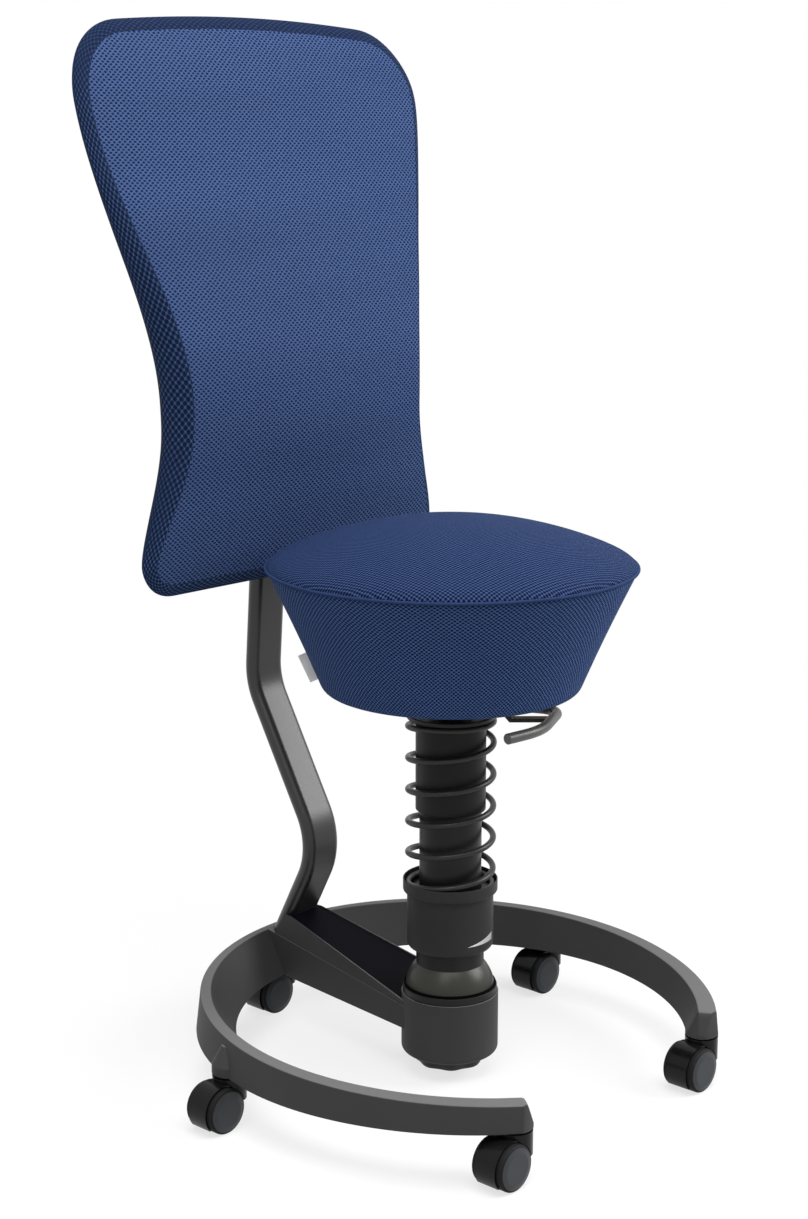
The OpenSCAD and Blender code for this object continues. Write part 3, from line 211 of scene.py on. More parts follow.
# Powder coat: a fine orange peel, small pits, a slow change of gloss, and a painted highlight: a
# lighter, greyer tone on faces that look up, which stands in for the light from above.
coat = new_group("powder_coat", ["Vector"], ["Tone", "Gloss", "Height", "Painted Top Light"])
coat_at = put(coat, "NodeGroupInput").outputs["Vector"]
peel = noise(coat, coat_at, scale=620.0, detail=3.0, roughness=0.55)
slow = noise(coat, coat_at, scale=9.0, detail=2.0)
speck = put(coat, "ShaderNodeTexVoronoi", {"Vector": coat_at, "Scale": 900.0}, feature="F1")
pits = ramp(coat, speck.outputs["Distance"], [(0.0, 0.0), (0.25, 1.0)])
put(coat, "NodeGroupOutput", {
    "Tone": spread(coat, slow, to=(0.85, 1.15)),
    "Gloss": spread(coat, peel, to=(-0.05, 0.07)),
    "Height": number_of(coat, "MULTIPLY", peel, pits),
    "Painted Top Light": spread(coat, facing_up(coat), to=(0.0, 1.0), since=(0.72, 0.92),
                     interpolation_type="SMOOTHSTEP"),
})


def powder_coated(name, color, roughness, bump, shine, painted_top_light=0.0):
    """The coat on one metal piece. Its last argument is how much lighter its upward faces are painted, as a
    painted highlight.
    """
    material, tree, shader, place = surface(name, color, roughness, shine)
    grain = put(tree, "ShaderNodeGroup", {"Vector": place["Object"]}, node_tree=coat).outputs
    lift = number_of(tree, "MULTIPLY_ADD", grain["Painted Top Light"], painted_top_light, grain["Tone"])
    tree.links.new(toned(tree, color, lift), shader.inputs["Base Color"])
    tree.links.new(number_of(tree, "ADD", grain["Gloss"], roughness), shader.inputs["Roughness"])
    dented(tree, shader, grain["Height"], bump, depth=0.0002)
    return material


# The cast coat's upward faces are painted much lighter: a painted highlight from the light above.
cast_black = powder_coated("powder_coat_cast", (0.051, 0.051, 0.0515), 0.56, bump=0.12, shine=0.10,
                           painted_top_light=1.7)

RING_Y, FOOT_Z, TOP_Z, RISE = -5.8, 58.0, 96.3, 0.038
INNER_EDGE = ((251.0, 6.0), (271.3, 0.8))
OUTER_EDGE = ((292.5, 0.0), (288.0, 0.0))
RING_EDGES = (1.2, 1.4, 1.6, 1.6)
FLARE_ANGLE, FLARE_R = 100.0, 29.0
ARC_END, ARC_LAST, ARC_STEP = 141.3, 140, 1.25
TIP_ANGLE, TIP_FLAT, TIP_LIP = 145.3, 0.15, 3.7
TIP_DROP, TIP_SOFT = [(0, 0), (0.4, 0), (1, 1)], 0.22
CASTOR_CIRCLE, CASTOR_FORWARD, BOSS_R = 282.4, 4.0, 19.0
CASTOR_SIDE, CASTOR_TIP = 73.1, 144.7
CASTORS = {"back": 0, "right": CASTOR_SIDE, "front_right": CASTOR_TIP,
           "left": -CASTOR_SIDE, "front_left": -CASTOR_TIP}


def heading(angle):
    return np.array([-sin(radians(angle)), cos(radians(angle))])


def castor_place(angle):
    x, y = CASTOR_CIRCLE * heading(angle)
    return x, y - CASTOR_FORWARD


def wall_point(edge, angle, share=None):
    """A point of the ring's wall; without a share of its height, the point on the sloping top."""
    at = 1.0 if share is None else share
    for _ in range(1 if share is not None else 6):
        r, forward = (edge[0][k] + at * (edge[1][k] - edge[0][k]) for k in (0, 1))
        past = cos(radians(max(0, abs(angle) - FLARE_ANGLE)))
        r = sqrt((FLARE_R * past) ** 2 + (r + FLARE_R) ** 2 - FLARE_R**2) - FLARE_R * past
        x, y = r * heading(angle)
        point = np.array([x, RING_Y - forward + y, FOOT_Z + at * (TOP_Z - FOOT_Z)])
        if share is None:
            at = (TOP_Z + RISE * (point[1] - RING_Y) - FOOT_Z) / (TOP_Z - FOOT_Z)
    return point


def wall_corners(angle):
    return [wall_point(INNER_EDGE, angle, 0), wall_point(INNER_EDGE, angle),
            wall_point(OUTER_EDGE, angle), wall_point(OUTER_EDGE, angle, 0)]


def tip_corners(side, turn):
    """The round end of a tip, whose top draws down to the castor's boss."""
    last = wall_corners(side * TIP_ANGLE)
    out = heading(side * CASTOR_TIP)
    ahead = side * np.array([-out[1], out[0]])
    centre = np.array(castor_place(side * CASTOR_TIP))
    turn = radians(turn)

    def at(along, sideways, z):
        return np.array([*(centre + along * ahead + sideways * out), z])

    share = (sin(turn) - TIP_FLAT) / (1 - TIP_FLAT)
    path = np.array(softened(TIP_DROP, (0, TIP_SOFT, 0), closed=False))
    way = np.insert(np.cumsum(np.linalg.norm(np.diff(path, axis=0), axis=1)), 0, 0)
    out_share, drop = (np.interp(share * way[-1], way, path[:, k]) for k in (0, 1))
    pull = np.array([out_share, out_share, drop])
    top = []
    for k, s in ((1, -1), (2, 1)):
        lip_corner = at(BOSS_R, s * BOSS_R / 6, FOOT_Z + TIP_LIP)
        top.append(last[k] + (lip_corner - last[k]) * pull)
    reach, half = BOSS_R * sin(turn), BOSS_R * cos(turn)
    return [at(reach, -half, FOOT_Z), *top, at(reach, half, FOOT_Z)]


turns = np.linspace(9, 84, 14)
arc = np.concatenate([[-ARC_END], np.arange(-ARC_LAST, ARC_LAST + 1, ARC_STEP), [ARC_END]])
stations = [tip_corners(-1, t) for t in turns[::-1]]
stations += [wall_corners(a) for a in arc]
stations += [tip_corners(1, t) for t in turns]
ring = skin("ring_casting", [softened(c, RING_EDGES) for c in stations])
sharp_edges(ring, 50)
dress(ring, cast_black)
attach(ring, "base")


def full_turn(count):
    """Angles evenly round a full turn."""
    return np.linspace(0, 2 * pi, count + 1)[:-1]


def lathe(name, profile, steps=128, centre=(0, 0)):
    """A closed turned piece. The profile is [radius, z], with both ends on the axis or joined."""
    points, faces = [], []
    n = len(profile)
    for a in full_turn(steps):
        points += [(centre[0] + r * cos(a), centre[1] + r * sin(a), z) for r, z in profile]
    for k in range(steps):
        a, b = k * n, (k + 1) % steps * n
        faces += [(a + i, b + i, b + i + 1, a + i + 1) for i in range(n - 1)]
        if profile[0][0] > 0 and profile[-1][0] > 0:
            faces.append((a + n - 1, b + n - 1, b, a))
    piece = reworked(add_mesh(name, points, faces), weld)
    sharp_edges(piece, 50)
    return piece


BOSS_PROFILE = [(0, 0), (17.6, 0), (18.7, 0.6), (19, 1.6), (19, 10.6), (18.7, 11.6), (8.6, 30.6),
                (7.6, 31.7), (6.2, 32.3), (0, 32.6)]
for label in ("back", "right", "left"):
    boss = lathe("boss_" + label, [(r, FOOT_Z + z) for r, z in BOSS_PROFILE],
                 steps=72, centre=castor_place(CASTORS[label]))
    dress(boss, cast_black)
    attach(boss, "base")
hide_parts("base_ring")

# Hub and arm: one casting that hangs in the ring. The arm is a tapered block between the ring's
# inner side and the hub, and the hub is a cup with a rounded lower edge, with the tilt joint's
# ears inside. The plain CAD faces get their worn edges from a bevel.


def round_off(node, width, angle=32):
    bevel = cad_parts[node].modifiers.new("soft_edges", "BEVEL")
    bevel.width = width * MM
    bevel.segments = 2
    bevel.limit_method = "ANGLE"
    bevel.angle_limit = radians(angle)
    flat_faces(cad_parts[node])


def paint(node, material):
    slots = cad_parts[node].data.materials
    if not slots:
        slots.append(material)
    for i in range(len(slots)):
        slots[i] = material


round_off("base_arm", 1.2)
paint("base_arm", cast_black)

# Collar: a plastic ring on the hub's rim, and a thin near-black ring round the dome above it:
# painted shade that stands in for the dark groove between collar and dome.


def moulded(name, color, roughness, bump=0.3, size=1.0, shine=0.2):
    """Moulded plastic or rubber with a fine leather-like grain."""
    material, tree, shader, place = surface(name, color, roughness, shine)
    grain = {"Vector": place["Object"], "Scale": 1100.0 / size}
    cells = put(tree, "ShaderNodeTexVoronoi", grain, feature="SMOOTH_F1").outputs["Distance"]
    cloud = noise(tree, place["Object"], scale=14.0, detail=3.0)
    tone = toned(tree, color, spread(tree, cloud, to=(0.82, 1.18)))
    tree.links.new(tone, shader.inputs["Base Color"])
    rough = spread(tree, cells, to=(roughness - 0.05, roughness + 0.1))
    tree.links.new(rough, shader.inputs["Roughness"])
    dented(tree, shader, cells, bump, depth=0.00015)
    return material


def turned_ring(name, inner, outer, foot, top, edges=(0, 0, 0, 0), steps=128):
    """A plain turned ring or tube. edges soften its corners, from the inner foot round."""
    corners = [(inner, foot), (outer, foot), (outer, top), (inner, top)]
    return lathe(name, softened(corners, edges), steps)


black_plastic = moulded("plastic_black", (0.012, 0.012, 0.0125), 0.42)
collar = turned_ring("collar", inner=51.9, outer=53.5, foot=95.2, top=103.6, edges=(0, 0.2, 1.0, 0.4))
dress(collar, black_plastic)
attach(collar, "base")
# A near-black ring on the collar's top, round the dome: painted shade for the dark groove.
GROOVE_SHADE_PROFILE = [(51.6, 103.7), (53, 103.7), (51.9, 106.6), (51.2, 106.6)]
groove_shade_ring = lathe("collar_groove_shade", softened(GROOVE_SHADE_PROFILE, (0, 0.3, 0.3, 0.2)))
dress(groove_shade_ring, moulded("groove_shade_black", (0.002, 0.002, 0.0022), 0.75, bump=0.2, shine=0.02))
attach(groove_shade_ring, "base")
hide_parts("hub_collar")

# Mast shoe and cover: the shoe's thin walls rise from the arm to the mast, and a near-black
# plastic cover closes the space between them.
round_off("mast_shoe", 0.9)
paint("mast_shoe", cast_black)
round_off("arm_cover", 0.4)
paint("arm_cover", moulded("plastic_cover", (0.0025, 0.0025, 0.0048), 0.5, bump=0.1, shine=0.02))

# Knob under the hub: moulded with eight soft lobes on a short shaft, turned by hand to set how
# stiff the tilt is.
LOBES, LOBE_SHARE, KNOB_STEPS = 8, 0.035, 240
KNOB_PROFILE = softened([(0, 10.9), (37.5, 10.9), (44.6, 23.9), (0, 23.9)], (0, 5, 1.2, 0), closed=False)
lobes = []
for a in full_turn(KNOB_STEPS):
    wave = 1 + LOBE_SHARE * cos(LOBES * a)
    lobes.append([(r * wave * cos(a), r * wave * sin(a), z) for r, z in KNOB_PROFILE])
knob = reworked(skin("knob_grip", lobes, closed=True), weld)
sharp_edges(knob, 50)
dress(knob, moulded("plastic_knob", (0.010, 0.010, 0.0105), 0.5))
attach(knob, "knob")
shaft = turned_ring("knob_shaft", inner=0, outer=10, foot=17.7, top=43.2, steps=48)
dress(shaft, black_plastic)
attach(shaft, "knob")
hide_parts("stiffness_knob")

# Tilt joint: ground steel pins, a rubber ring under the dome, and the smooth olive-black dome
# that turns in the hub's rim.


def machined(name, color, roughness):
    """Ground or turned steel with fine rings of tool marks."""
    material, tree, shader, place = surface(name, color, roughness, metal=1.0)
    lathed = put(tree, "ShaderNodeMapping", {"Vector": place["Object"], "Scale": (30.0, 30.0, 900.0)})
    marks = noise(tree, lathed.outputs[0], scale=1.0, detail=3.0)
    rough = spread(tree, marks, to=(roughness - 0.08, roughness + 0.12))
    tree.links.new(rough, shader.inputs["Roughness"])
    tone = toned(tree, color, spread(tree, marks, to=(0.85, 1.1)))
    tree.links.new(tone, shader.inputs["Base Color"])
    dented(tree, shader, marks, 0.15, depth=0.0001)
    return material


steel = machined("steel_ground", (0.56, 0.56, 0.57), 0.3)
paint("tilt_cross", steel)
paint("rubber_ring", moulded("rubber_ring", (0.02, 0.02, 0.02), 0.7, bump=0.4, size=1.5))
DOME_R, DOME_IN, DOME_Z, DOME_MOUTH = 51.4, 45.4, 96, 38.4


def dome_arc(r, angles):
    return [(r * cos(radians(a)), DOME_Z + r * sin(radians(a))) for a in angles]


bowl = dome_arc(DOME_R, range(-30, 42, 3))
bowl += [(DOME_MOUTH, DOME_Z + sqrt(r**2 - DOME_MOUTH**2)) for r in (DOME_R, DOME_IN)]
bowl += dome_arc(DOME_IN, range(30, -35, -3))
dome = lathe("tilt_dome", bowl)
dress(dome, moulded("plastic_dome", (0.026, 0.026, 0.021), 0.33, bump=0.03, shine=0.3))
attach(dome, "column")
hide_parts("joint_dome")
paint("column_foot", black_plastic)

# Column: the lower tube, the cup with its stepped rim and the steel washer that the spring
# stands on.
tube_black = powder_coated("powder_coat_tube", (0.010, 0.010, 0.0105), 0.36, bump=0.08, shine=0.2)
tube = turned_ring("lower_tube_shell", inner=31, outer=35, foot=149, top=358, edges=(0, 0, 0.8, 0.8))
dress(tube, tube_black)
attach(tube, "column")
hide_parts("lower_tube")
bush_plastic = moulded("plastic_bush", (0.35, 0.35, 0.33), 0.45)
paint("guide_bushes", bush_plastic)
CUP_R, CUP_BORE, CUP_FLOOR, CUP_TOP = 48.8, 35.3, 216.4, 229.4
CUP_PROFILE = [(CUP_BORE, 149.3), (CUP_R, 149.3), (CUP_R, 213.6), (50.9, 214.6), (53.4, CUP_FLOOR),
               (53.4, CUP_TOP), (51.9, CUP_TOP), (51.9, CUP_FLOOR), (CUP_BORE, CUP_FLOOR)]
cup = lathe("cup_turned", softened(CUP_PROFILE, (1, 7, 0.6, 0.8, 1.4, 0.9, 0.7, 0, 0), steps=5))
dress(cup, moulded("plastic_cup", (0.029, 0.029, 0.0295), 0.45, bump=0.08, shine=0.12))
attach(cup, "cup")
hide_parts("spring_cup")
washer = turned_ring("spring_washer", inner=CUP_BORE, outer=51.6, foot=CUP_FLOOR, top=219.4,
                     edges=(0, 0, 0.5, 0.5))
dress(washer, tube_black)
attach(washer, "cup")
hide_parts("spring_seat")

# Foil: a bare wedge of thin silver foil, stuck on the cup's front. It widens from a point to its
# full height.
FOIL_Z, FOIL_RISE, FOIL_FROM, FOIL_TO = 162.0, 8.8, -114.5, -66.5
FOIL_BACK, FOIL_FACE, FOIL_POINT = 0.02, 0.16, 0.1
foil = []
for share in np.linspace(0, 1, 25):
    turn = radians(FOIL_FROM + share * (FOIL_TO - FOIL_FROM))
    top = FOIL_Z + FOIL_POINT + share * FOIL_RISE
    edge = [(FOIL_BACK, FOIL_Z), (FOIL_FACE, FOIL_Z), (FOIL_FACE, top), (FOIL_BACK, top)]
    foil.append([((CUP_R + lift) * cos(turn), (CUP_R + lift) * sin(turn), z) for lift, z in edge])
wedge = skin("cup_foil", foil)
sharp_edges(wedge, 40)
dress(wedge, machined("foil_silver", (0.72, 0.72, 0.73), 0.4))
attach(wedge, "cup")

# Coil spring: round black wire in open turns, whose two flat ends lie on the washer and under the
# plate.
WIRE_R, COIL_R, PITCH, COIL_START = 3.5, 47.7, 36.6, 132.0
WIRE_LOW, WIRE_HIGH, END_TURNS, SOFT = 223.05, 412.35, 0.74, 0.03
coil_turns = (WIRE_HIGH - WIRE_LOW) / PITCH


def coil_point(n):
    rise = [SOFT * (log1p(exp(t / SOFT)) if t < 1 else t / SOFT) for t in (n, n - coil_turns)]
    a = radians(COIL_START + 360 * n)
    return np.array([COIL_R * cos(a), COIL_R * sin(a), WIRE_LOW + PITCH * (rise[0] - rise[1])])


NEARBY = 0.002
coil = []
for n in np.linspace(-END_TURNS, coil_turns + END_TURNS, 400):
    centre, ahead = coil_point(n), coil_point(n + NEARBY) - coil_point(n - NEARBY)
    ahead /= np.linalg.norm(ahead)
    out = np.array([centre[0], centre[1], 0]) / COIL_R
    up = np.cross(ahead, out)
    up /= np.linalg.norm(up)
    side = np.cross(up, ahead)
    coil.append([centre + WIRE_R * (cos(a) * side + sin(a) * up) for a in full_turn(16)])
spring = skin("spring_wire", coil)
sharp_edges(spring, 60)
dress(spring, powder_coated("spring_black", (0.014, 0.014, 0.014), 0.34, bump=0.06, shine=0.3))
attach(spring, "column")
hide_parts("coil_spring")
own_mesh(spring)

# Strut: the guide tube with its plate, the plastic sleeve over the lower tube, and the sliding
# bush for the gas spring.
sleeve = turned_ring("sleeve_turned", inner=35.3, outer=39.4, foot=310.5, top=416, edges=(0.5, 1.2, 0.4, 0))
dress(sleeve, moulded("plastic_sleeve", (0.009, 0.009, 0.0095), 0.42, bump=0.06, shine=0.15))
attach(sleeve, "strut")
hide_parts("upper_sleeve")
plate = turned_ring("plate_turned", inner=25, outer=49.5, foot=416, top=421, edges=(0, 1.0, 1.4, 0))
dress(plate, tube_black)
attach(plate, "strut")
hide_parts("spring_plate")
paint("guide_tube", tube_black)
paint("lift_bush", bush_plastic)
paint("thrust_bearing", steel)

# Gas spring: a ground rod in the strut and a black cylinder, which carries the seat's carrier,
# a folded steel cradle with the lever's pin, the valve's button and the seat's four screws.
paint("piston_rod", steel)
paint("rod_clip", steel)
paint("gas_cylinder", tube_black)
paint("valve_button", steel)
round_off("seat_carrier", 0.8)
paint("seat_carrier", tube_black)
paint("lever_pin", steel)
round_off("seat_screws", 0.3)
paint("seat_screws", steel)

# Release lever: a bent rod with a turned end, welded to a flat bar that reaches in to the valve.
# The rod's coat is a lighter grey than the bar's.
LEVER_TURN, LEVER_Z, ROD_R = radians(-47.2), 421.0, 6.0
ROD_PATH, ROD_BENDS = [(57, -111), (96.5, -76), (122, 10), (84, 24)], (90, 24)
ROD_END = ((0, 5.0), (0.3, 5.6), (1, ROD_R))


def lever_place(x, y, z):
    c, s = cos(LEVER_TURN), sin(LEVER_TURN)
    return np.array([x * c - y * s, x * s + y * c, z])


def bent_path(path, radii, step=4):
    """Points and headings along straight runs with round bends between them."""
    path = [np.array(p, dtype=float) for p in path]
    course = [atan2(*(b - a)[::-1]) for a, b in zip(path, path[1:])]
    stops = [(path[0], course[0])]
    for i, r in enumerate(radii):
        turn = course[i + 1] - course[i]
        r = copysign(r, turn)
        along, left = (np.array([cos(a), sin(a)]) for a in (course[i], course[i] + pi / 2))
        centre = path[i + 1] - r * tan(turn / 2) * along + r * left
        count = ceil(abs(degrees(turn)) / step)
        for k in range(count + 1):
            a = course[i] + turn * k / count
            stops.append((centre + r * np.array([sin(a), -cos(a)]), a))
    stops.append((path[-1], course[-1]))
    return stops


stops = bent_path(ROD_PATH, ROD_BENDS)
(first, start), (last, end) = stops[0], stops[-1]
onward = np.array([cos(start), sin(start)])
rounded = [(first + onward * d, start, r) for d, r in ROD_END]
rounded += [(p, a, ROD_R) for p, a in stops[1:-1]] + [(last, end, ROD_R)]
rod = []
for (x, y), a, r in rounded:
    rod.append([lever_place(x - r * cos(t) * sin(a), y + r * cos(t) * cos(a),
                            LEVER_Z + r * sin(t)) for t in full_turn(24)])
lever_rod = skin("lever_rod", rod)
sharp_edges(lever_rod, 60)
dress(lever_rod, powder_coated("lever_coat", (0.07, 0.07, 0.072), 0.36, bump=0.08, shine=0.4))
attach(lever_rod, "lever")


def bevelled(piece, width):
    """Rounds a piece's sharp edges in its mesh."""
    def bevel(work):
        edges = [e for e in work.edges if len(e.link_faces) == 2 and e.calc_face_angle() > radians(25)]
        bmesh.ops.bevel(work, geom=edges, offset=width * MM, offset_type="OFFSET", segments=3,
                        profile=0.5, affect="EDGES", clamp_overlap=True)

    reworked(reworked(piece), bevel)
    piece.data.polygons.foreach_set("use_smooth", [True] * len(piece.data.polygons))
    sharp_edges(piece, 40)
    return piece


def lever_slab(name, outline, y0, y1):
    """A slab of the lever: an [x, z] outline drawn out along the lever's own Y."""
    loops = [[lever_place(x, y, z) for x, z in outline] for y in (y0, y1)]
    slab = bevelled(skin(name, loops), 0.6)
    dress(slab, tube_black)
    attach(slab, "lever")


BAR_SIDE = [(51, 433), (63, 419), (110, 419), (110, 423), (66, 423), (61, 437), (61, 447), (51, 447)]
CROSS_SIDE = [(51.2, 433.2), (61, 433.2), (61, 446.8), (51.2, 446.8)]
FINGER_SIDE = [(-5, 450.7), (26, 450.7), (29, 433.4), (31, 433.4), (36, 446.8), (31, 454.7), (-5, 454.7)]
BLOCK_SIDE = [(29, 433), (61, 433), (61, 447), (29, 447)]
lever_slab("lever_bar", BAR_SIDE, -36, -22)
lever_slab("lever_cross", CROSS_SIDE, -35.8, 14.6)
lever_slab("lever_finger", FINGER_SIDE, -6, 6)
lever_slab("lever_block", BLOCK_SIDE, -14.6, 14.6)
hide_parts("release_lever")

# Seat: foam in a blue spacer mesh, a crown over a coned side that draws down to a rounded foot.
# A thin piping runs round the rim. The cloth is drawn tight, so the crown swells only a little.


def vector_of(tree, operation, *inputs):
    return put(tree, "ShaderNodeVectorMath", dict(enumerate(inputs)), operation=operation).outputs[0]


# Spacer mesh: two lattices of round holes, one set half a cell off the other, that wander a
# little, and threads of uneven tone between them.
spacer = new_group("spacer_mesh", ["Cloth", "Cell", "Hole Size"], ["Hole", "Thread", "Height"])
cloth_in = put(spacer, "NodeGroupInput").outputs
wobble = put(spacer, "ShaderNodeTexNoise", {"Vector": cloth_in["Cloth"], "Scale": 0.11, "Detail": 1.0})
drift = vector_of(spacer, "SUBTRACT", wobble.outputs["Color"], (0.5, 0.5, 0.5))
moved = vector_of(spacer, "MULTIPLY_ADD", drift, (1.6, 1.6, 0.0), cloth_in["Cloth"])
cells = vector_of(spacer, "DIVIDE", moved, cloth_in["Cell"])
reach = vector_of(spacer, "DIVIDE", cloth_in["Cell"], cloth_in["Hole Size"])
away = []
for shift in (0.0, 0.5):
    lattice = vector_of(spacer, "ADD", cells, (shift, shift, 0.0))
    middle = vector_of(spacer, "SUBTRACT", vector_of(spacer, "FRACTION", lattice), (0.5, 0.5, 0.0))
    flat = vector_of(spacer, "MULTIPLY", vector_of(spacer, "MULTIPLY", middle, reach), (1.0, 1.0, 0.0))
    away.append(put(spacer, "ShaderNodeVectorMath", {0: flat}, operation="LENGTH").outputs["Value"])
nearest = number_of(spacer, "MINIMUM", *away)
fine = noise(spacer, cloth_in["Cloth"], scale=1.4, detail=3.0, roughness=0.7)
put(spacer, "NodeGroupOutput", {
    "Hole": spread(spacer, nearest, to=(1.0, 0.0), since=(0.78, 1.25), interpolation_type="SMOOTHSTEP"),
    "Thread": spread(spacer, fine, to=(0.8, 1.2), since=(0.3, 0.7)),
    "Height": number_of(spacer, "ADD", nearest, fine),
})


def spacer_cloth(name, light, dark, cell, hole, bump=0.5, bands=0.0, painted_top_shade=0.0):
    """Knitted spacer mesh: light strands round staggered dark holes, in faint bands. The last argument
    is painted shade: how much darker its faces that look up are painted."""
    material, tree, shader, place = surface(name, light, 0.82, shine=0.06)
    sizes = {"Cell": (*cell, 1.0), "Hole Size": (*hole, 1.0)}
    knit = put(tree, "ShaderNodeGroup", {"Cloth": place["UV"], **sizes}, node_tree=spacer).outputs
    rows = put(tree, "ShaderNodeMapping", {"Vector": place["Object"], "Scale": (1.2, 1.2, 13.0)})
    band = noise(tree, rows.outputs[0], scale=1.0, detail=2.0, roughness=0.4)
    banded = spread(tree, band, to=(1 - bands, 1 + bands), since=(0.3, 0.7))
    tone = number_of(tree, "MULTIPLY", banded, knit["Thread"])
    if painted_top_shade:
        painted_shade_factor = spread(tree, facing_up(tree), to=(1.0, 1 - painted_top_shade), since=(-0.05, 0.45))
        tone = number_of(tree, "MULTIPLY", tone, painted_shade_factor)
    colors = {0: knit["Hole"], 6: toned(tree, light, tone), 7: (*dark, 1)}
    mix = put(tree, "ShaderNodeMix", colors, data_type="RGBA")
    tree.links.new(mix.outputs[2], shader.inputs["Base Color"])
    dented(tree, shader, knit["Height"], bump, depth=0.0008)
    return material


def swell(piece, pinned, cap, frames=20):
    """Blows a cloth piece up a little between its pinned points, by no more than cap metres."""
    rest = np.empty(len(piece.data.vertices) * 3)
    piece.data.vertices.foreach_get("co", rest)
    group = piece.vertex_groups.new(name="seams")
    group.add([int(i) for i in pinned], 1.0, "REPLACE")
    cloth = piece.modifiers.new("cloth", "CLOTH")
    cloth.settings.vertex_group_mass = "seams"
    cloth.settings.effector_weights.gravity = 0
    cloth.settings.use_pressure = True
    cloth.settings.uniform_pressure_force = 4
    cloth.settings.tension_stiffness = 12
    cloth.settings.compression_stiffness = 12
    cloth.settings.bending_stiffness = 1.5
    cloth.settings.quality = 5
    cloth.collision_settings.use_collision = False
    for number in range(1, frames + 1):
        scene.frame_set(number)
    graph = bpy.context.evaluated_depsgraph_get()
    done = piece.evaluated_get(graph).to_mesh()
    now = np.empty_like(rest)
    done.vertices.foreach_get("co", now)
    piece.evaluated_get(graph).to_mesh_clear()
    piece.modifiers.remove(cloth)
    scene.frame_set(1)
    move = (now - rest).reshape(-1, 3)
    far = np.linalg.norm(move, axis=1, keepdims=True)
    move *= cap * np.tanh(far / cap) / np.maximum(far, 1e-9)
    piece.data.vertices.foreach_set("co", (rest.reshape(-1, 3) + move).ravel())
    piece.data.update()
    piece.vertex_groups.remove(group)


def cloth_faces(piece, uvs, zones):
    """Sets each face corner's cloth coordinates and each face's material."""
    layer = piece.data.uv_layers.new(name="cloth")
    layer.data.foreach_set("uv", np.asarray(uvs, dtype=np.float32).ravel())
    piece.data.polygons.foreach_set("material_index", zones)


SEAT_R, RIM_Z, SEAT_FOOT_R, SEAT_FOOT_Z, SIDE_DRAW, FOOT_EDGE = 203.6, 587.0, 141.4, 448.5, 1.5, 14.0
CROWN, ROLL, ROLL_BEND = 46.0, 7.0, 24
RECESS_R, RECESS_TOP, RECESS_MIDDLE = 126.3, 464.3, 60
SIDE_CELL, SIDE_CELLS = 5.5, 216
CROWN_ROWS, SIDE_ROWS, FOOT_ROWS, SEGMENTS = 34, 22, 7, 160
ON_CROWN, ON_SIDE, UNDER = 0, 1, 2
slope = atan2(SEAT_R - SEAT_FOOT_R, RIM_Z - SEAT_FOOT_Z)
edge_share = 1 - FOOT_EDGE * (1 - sin(slope)) / (RIM_Z - SEAT_FOOT_Z)


def side_point(t):
    draw = SIDE_DRAW * sin(pi * t)
    return SEAT_R + (SEAT_FOOT_R - SEAT_R) * t - draw, RIM_Z + (SEAT_FOOT_Z - RIM_Z) * t


def crown_z(t):
    return RIM_Z + CROWN * (1 - t * t) + ROLL * sqrt(1 - t**ROLL_BEND)


outward = np.sin(np.linspace(0.02, pi / 2 - 0.06, CROWN_ROWS))
profile = [(SEAT_R * t, crown_z(t), ON_CROWN) for t in outward]
profile.append((SEAT_R - 1.6, RIM_Z - 0.4, ON_SIDE))
profile += [(*side_point(t), ON_SIDE) for t in np.linspace(0.012, edge_share, SIDE_ROWS)]
foot_r, foot_z = side_point(edge_share)
centre_r, centre_z = foot_r - FOOT_EDGE * cos(slope), foot_z + FOOT_EDGE * sin(slope)
profile += [(centre_r + FOOT_EDGE * cos(a), centre_z + FOOT_EDGE * sin(a), ON_SIDE)
            for a in np.linspace(-slope - 0.2, -pi / 2, FOOT_ROWS)]
foot_level = centre_z - FOOT_EDGE
profile += [(130.0, foot_level, UNDER), (127.0, foot_level + 0.6, UNDER), (RECESS_R, foot_level + 2, UNDER),
            (RECESS_R, RECESS_TOP, UNDER), (RECESS_MIDDLE, RECESS_TOP, UNDER)]
points, faces, uvs, zones = [(0, 0, crown_z(0))], [], [], []
run = np.concatenate([[0], np.cumsum([dist(a[:2], b[:2]) for a, b in zip(profile, profile[1:])])])
for r, z, _ in profile:
    points += [(r * cos(a), r * sin(a), z) for a in full_turn(SEGMENTS)]
points.append((0, 0, RECESS_TOP))


def seat_uv(row, k, zone):
    """Cloth coordinates in millimetres. The crown's cloth lies at 45 degrees to the chair."""
    r = profile[row][0]
    a = 2 * pi * k / SEGMENTS
    if zone == ON_SIDE:
        return a / (2 * pi) * SIDE_CELL * SIDE_CELLS, run[row]
    return r * cos(a + pi / 4), r * sin(a + pi / 4)


for k in range(SEGMENTS):
    faces.append((0, 1 + k, 1 + (k + 1) % SEGMENTS))
    uvs += [(0, 0), seat_uv(0, k, ON_CROWN), seat_uv(0, k + 1, ON_CROWN)]
    zones.append(ON_CROWN)
for row in range(len(profile) - 1):
    zone = profile[row + 1][2]
    for k in range(SEGMENTS):
        j = (k + 1) % SEGMENTS
        a, b = 1 + row * SEGMENTS, 1 + (row + 1) * SEGMENTS
        faces.append((a + k, b + k, b + j, a + j))
        uvs += [seat_uv(row + i, k + j, zone) for i, j in ((0, 0), (1, 0), (1, 1), (0, 1))]
        zones.append(zone)
final = len(profile) - 1
low = 1 + final * SEGMENTS
for k in range(SEGMENTS):
    faces.append((low + k, len(points) - 1, low + (k + 1) % SEGMENTS))
    uvs += [seat_uv(final, k, UNDER), (0, 0), seat_uv(final, k + 1, UNDER)]
    zones.append(UNDER)
seat = add_mesh("seat_cover", points, faces)
